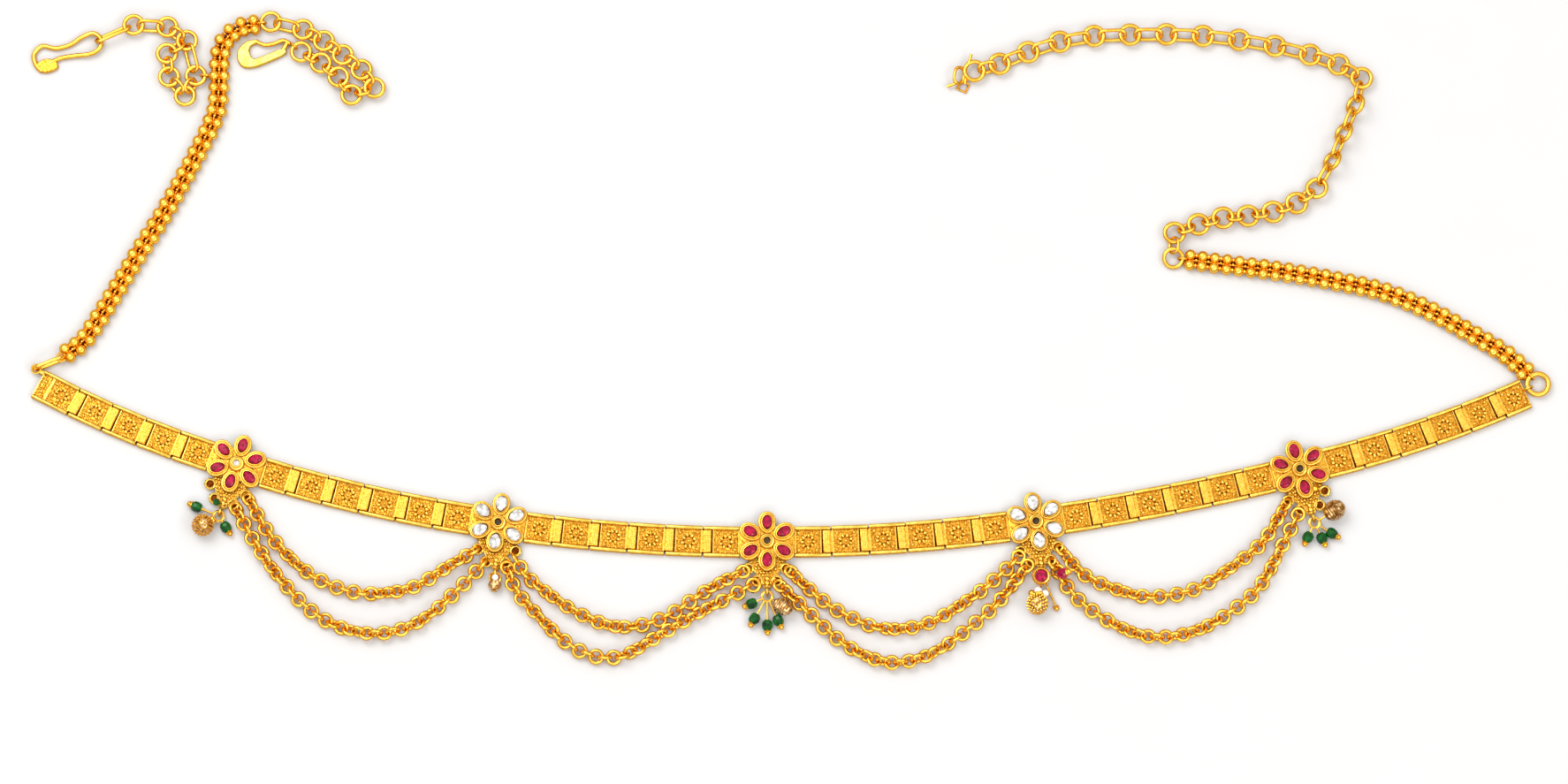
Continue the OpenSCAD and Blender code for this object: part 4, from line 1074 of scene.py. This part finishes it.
# %% Wire hook
HOOK_WIRE = [
    (-213.5, 145.5, 0.9), (-210, 147.4, 0.9), (-205.5, 148.2, 1), (-201, 148.6, 1.5), (-198.3, 150.2, 1.75),
    (-197.8, 153, 1.75), (-200.2, 155, 1.6), (-203.6, 153.9, 1.1), (-207, 151.6, 0.9), (-211.3, 150.5, 0.9),
    (-215.3, 151.2, 0.9), (-217.7, 148.6, 0.9), (-217, 145.3, 0.9), (-215.2, 143.4, 0.9)]
HOOK_LEAF = [(-217.6, 145.2), (-214.6, 142.9), (-210.6, 144.3), (-211.2, 146.6), (-214.4, 147.2)]
bm = bmesh.new()
stamp(bm, wire_mesh("hook", [smooth(HOOK_WIRE, 5)], 0.72))
stamp(bm, cast_mesh("leaf", HOOK_LEAF, 0.2, 1.3, 0.4), material=1)
piece("hook_of_wire", bm, ring_gold, deep_gold, nodes=["wire_hook"], slot="polished_gold")
print("the wire hook is bent through", len(HOOK_WIRE), "points")

# %% Flat hook
FLAT_HOOK = [
    (-151.3, 153.2), (-154.5, 152.6), (-157, 150.2), (-157.3, 147.2), (-155.8, 144.8), (-152.8, 144.5),
    (-149.4, 145.6), (-143.2, 148.6), (-143.9, 150.4), (-150, 147.9), (-152.4, 147.2), (-153.7, 149),
    (-153.4, 151), (-151.3, 152.2)]
FLAT_HOOK_WIRE = [
    (-152, 152.7, 1.2), (-149.4, 151.5, 1.2), (-146.4, 151.9, 1.2), (-143.8, 152.9, 1.2),
    (-141.6, 151.8, 1.2)]
FLAT_HOOK_STAY = [(-144, 149.6, 1.2), (-142.6, 152.1, 1.2)]
FLAT_HOOK_EYE = (-140.6, 151.05)
bm = bmesh.new()
stamp(bm, cast_mesh("flat_hook_cast", FLAT_HOOK, 0.3, 1.4, 0.35), material=1)
stamp(bm, wire_mesh("flat", [smooth(FLAT_HOOK_WIRE, 5), FLAT_HOOK_STAY], 0.65))
stamp(bm, EYE, at(*FLAT_HOOK_EYE, EYE_Z, heading(FLAT_HOOK_EYE, SIDE_RINGS[8])) @ lean(90))
piece("hook_cast_flat", bm, ring_gold, satin_gold, nodes=["flat_hook"], slot="polished_gold")
print("hooks made")

# %% [markdown]
# ## Drops
# A small ring at each flower's tip carries pins with green faceted beads, balls covered in granules,
# ribbed shells, a ruby drop and a few pearls. Beads, caps and shells are turned parts, so each is a
# profile that is spun about z. Each drop is made upright once, and then laid along its own pin.

# %% Where the drops lie
DROP_RING_R = 1.5
DROPS = [
    (1, -11.5, -12.8, 1.6, "green"), (1, -2.9, -18.9, 1.6, "green"), (1, -9.5, -18.7, 3.4, "ball"),
    (2, -0.9, -18.8, 2, "bud"),
    (3, -4.5, -18.5, 1.6, "green"), (3, -3.7, -23, 1.6, "green"), (3, 0.1, -25, 1.6, "green"),
    (3, 3.2, -23.5, 1.6, "green"), (3, 4.6, -19.8, 3.4, "shell"),
    (4, 7.7, -16.1, 5.3, "ruby"), (4, 5, -23.6, 1.2, "pin"), (4, 0.2, -24.8, 3.4, "ball"),
    (5, 2.2, -20.2, 1.6, "green"), (5, 6.3, -20.5, 1.6, "green"), (5, 9.2, -19, 1.6, "green"),
    (5, 10, -12.5, 3.4, "big_shell"),
    (1, -5.6, -11.8, 3.4, "bead"), (4, -1.3, -21.3, 1.4, "boss"), (5, 4.5, -5.9, 2.4, "boss")]


def by_flower(k, x, y):
    """A place given from the middle of flower k."""
    return FLOWERS[k - 1].x + x, FLOWERS[k - 1].y + y


def drop_ring(k):
    fan_turn = FLOWER_ROWS[k - 1][2]
    return Vector((*by_flower(k, *turned(fan_turn, 0, -FAN_EYE - DROP_RING_R)), EYE_Z))


def drop_line(k, x, y, z):
    """Start of a drop's pin on its ring, and the middle of the drop."""
    ring = drop_ring(k)
    end = Vector((*by_flower(k, x, y), z))
    way = turned(heading(ring, end), DROP_RING_R, 0)
    return ring + way.to_3d(), end


print(len(DROPS), "drops, the first on a ring at", tuple(round(v, 1) for v in drop_ring(1)))

# %% Shapes of the drops
BEAD = spun_mesh("bead", [
    (0.26, -1.5), (1.05, -1.5), (1.52, -0.85), (1.62, 0), (1.52, 0.85), (1.05, 1.5), (0.26, 1.5)], 10)
CAP = spun_mesh("cap", [
    (0, 1.5), (0.95, 1.5), (1.08, 1.75), (0.9, 2.0), (0.7, 2.1), (0.85, 2.35), (0.8, 2.6), (0.45, 2.95),
    (0, 3.0)], 12)
DROP_RING = ring_mesh("drop_ring", DROP_RING_R, 0.42, 24, 8)
BALL_GRANULES = 130
GOLDEN_ANGLE = 137.508


def granule_ball_mesh():
    """Ball covered in granules that wind round it, with a collar at its top."""
    bm = bmesh.new()
    # The ball under the granules takes the shell's darker brown gold: partly its own tone, partly painted
    # shade between the granules
    stamp(bm, BALL, grow(3.0), 1)
    for k in range(BALL_GRANULES):
        z = 1 - 2 * (k + 0.5) / BALL_GRANULES
        turn = radians(GOLDEN_ANGLE * k)
        out = sqrt(1 - z * z)
        place = Vector((out * cos(turn), out * sin(turn), z))
        stamp(bm, GRANULE, Matrix.Translation(place * 3.05) @ grow(0.33))
    collar = [(0, -3.8), (1.0, -3.8), (1.25, -3.4), (1.1, -3.0), (1.3, -2.7), (0, -2.6)]
    stamp(bm, spun_mesh("collar", collar, 16))
    return to_mesh(bm, "granule_ball")


def shell_mesh(length, width):
    """Ribbed shell: every second ring of its profile is pulled in."""
    profile = [(0, -length / 2)]
    for i in range(17):
        s = (i - 8) / 8.6
        profile.append((width / 2 * sqrt(1 - s * s) * (0.9 if i % 2 == 0 else 1), length * s / 2))
    return spun_mesh("shell", profile + [(0, length / 2)], 28)


GRANULE_BALL = granule_ball_mesh()
SHELLS = {"bud": shell_mesh(3.8, 3.8), "shell": shell_mesh(6.6, 5.0), "big_shell": shell_mesh(6.9, 6.2)}
shell_gilt = finish("shell_gilt", (0.55, 0.3, 0.06), 1.0, 0.25, Coat_Weight=0.2)
mottle(shell_gilt, (0.3, 0.13, 0.015), (0.86, 0.62, 0.32), 900, 0.4, 0.66)
print("a granule ball has", len(GRANULE_BALL.polygons), "faces")

# %% Lay the drops
METAL_SHAPES = {"green": CAP, "ruby": CAP, "pin": CAP, "ball": GRANULE_BALL}
metal = bmesh.new()
greens = bmesh.new()
shells = bmesh.new()
pins = []
for k in range(1, 6):
    stamp(metal, DROP_RING, at(*drop_ring(k)))
for k, x, y, z, kind in DROPS:
    start, end = drop_line(k, x, y, z)
    if kind in ("bead", "boss"):
        stamp(greens if kind == "bead" else metal, KNOB, Matrix.Translation(end) @ grow(1.1))
        continue
    way = (end - start).normalized()
    here = Matrix.Translation(end) @ facing(way)
    tip = end + (0 if kind == "ball" else 2) * way
    pins.append([tuple(start), tuple((start + tip) / 2), tuple(tip)])
    if kind in METAL_SHAPES:
        stamp(metal, METAL_SHAPES[kind], here)
    if kind in ("green", "ruby"):
        stamp(greens if kind == "green" else ruby_stones, BEAD, here)
    if kind in SHELLS:
        stamp(shells, SHELLS[kind], here)
stamp(metal, wire_mesh("pins", pins, 0.3))
print("laid", len(DROPS), "drops on", len(pins), "pins")

# %% The cup with its ruby
CUP = spun_mesh("cup", [
    (0, 3.35), (2.3, 3.35), (2.6, 3.7), (2.55, 4.4), (2.3, 4.65), (2.05, 4.6), (1.9, 4.2), (0, 4.1)])
CUP_GRANULES = 16
cup_x, cup_y = by_flower(4, 1.4, -16.7)
stamp(metal, CUP, at(cup_x, cup_y))
for i in range(CUP_GRANULES):
    stamp(metal, GRANULE, at(cup_x, cup_y, 4.2, 360 / CUP_GRANULES * i) @ at(2.62, 0) @ grow(0.34))
stamp(ruby_stones, cut_stone("cup_ruby", (3.7, 3.7, 0, 4.2, 12), 1.0), at(cup_x, cup_y))
stem = [tuple(drop_ring(4) + Vector((0, -DROP_RING_R, 0))), (cup_x + 0.3, cup_y - 1.4, 3.65)]
stamp(metal, wire_mesh("stem", [stem], 0.42))
piece("drops_metal", metal, ring_gold, shell_gilt, nodes=["drop_metal"], slot="polished_gold")
piece("drops_green", greens, green_glass, nodes=["green_beads"], slot="green_glass", crease=12)
piece("drops_shells", shells, shell_gilt, slot="polished_gold")
print("cup at", round(cup_x, 1), round(cup_y, 1))

# %% Stones and pearls
PEARLS = [(4, 0.5, -20.6, 2.4, 1.15), (4, 2.6, -21.4, 2.0, 1.05), (2, -0.7, -16.6, 3.4, 0.95)]
piece("stones_ruby", ruby_stones, ruby_glass, nodes=["ruby_stones"], slot="ruby_glass", crease=12)
piece("stones_clear", clear_stones, clear_glass, nodes=["clear_stones"], slot="clear_glass", crease=12)
piece("stones_centre", centre_stones, smoky_glass, slot="clear_glass", crease=12)
pearls = bmesh.new()
for k, x, y, z, r in PEARLS:
    stamp(pearls, BALL, at(*by_flower(k, x, y), z) @ grow(r))
piece("drops_pearls", pearls, pearl)
print("stones set, and", len(PEARLS), "pearls")

# %% [markdown]
# ## Table and light
# The photograph has a near-white table and broad soft light from the upper left, with shadows that hardly
# show. Lamps alone would leave polished gold nearly black, because it shows what stands round it. A bright
# sky with a dim horizon and a few large lamps give it crisp highlights and deep orange edges.

# %% Table
TABLE_HALF = 3
table_paper = finish("table_paper", (0.57, 0.57, 0.57), 0.0, 0.9)
grain = node(table_paper, "ShaderNodeTexNoise")
grain.inputs["Scale"].default_value = 300
paper = tone_ramp(table_paper, grain.outputs["Fac"], (0.56, 0.567, 0.58), (0.575, 0.582, 0.595), 0, 1)
table_paper.node_tree.links.new(paper.outputs["Color"], shader_of(table_paper).inputs["Base Color"])
bm = bmesh.new()
bmesh.ops.create_grid(bm, x_segments=2, y_segments=2, size=TABLE_HALF)
mesh = to_mesh(bm, "table")
mesh.materials.append(table_paper)
table = bpy.data.objects.new("table", mesh)
scene.collection.objects.link(table)
print("table of", 2 * TABLE_HALF, "m laid")

# %% Light
world = bpy.data.worlds.new("studio")
world.use_nodes = True
links = world.node_tree.links
sky_way = node(world, "ShaderNodeTexCoord")
sky_height = node(world, "ShaderNodeSeparateXYZ")
sky = tone_ramp(world, sky_height.outputs["Z"], (0.35, 0.25, 0.16), (1, 0.985, 0.96), 0.1, 0.8)
sky.color_ramp.interpolation = "EASE"
background = world.node_tree.nodes["Background"]
background.inputs["Strength"].default_value = 1.35
links.new(sky_way.outputs["Generated"], sky_height.inputs["Vector"])
links.new(sky.outputs["Color"], background.inputs["Color"])
scene.world = world
scene.view_settings.view_transform = "Standard"


def area_light(name, place, size, power, target=(0, 0.05, 0)):
    data = bpy.data.lights.new(name, "AREA")
    data.shape = "RECTANGLE"
    data.size, data.size_y = size
    data.energy = power
    obj = bpy.data.objects.new(name, data)
    scene.collection.objects.link(obj)
    obj.location = place
    obj.rotation_euler = (Vector(target) - Vector(place)).to_track_quat("-Z", "Y").to_euler()


area_light("key", (-0.6, 0.6, 1.3), (0.9, 0.9), 12)
area_light("fill", (0.9, -0.4, 1.2), (0.9, 0.5), 5)
area_light("strip", (0.1, -0.9, 0.9), (1.4, 0.15), 3)
print("table and three lights placed")
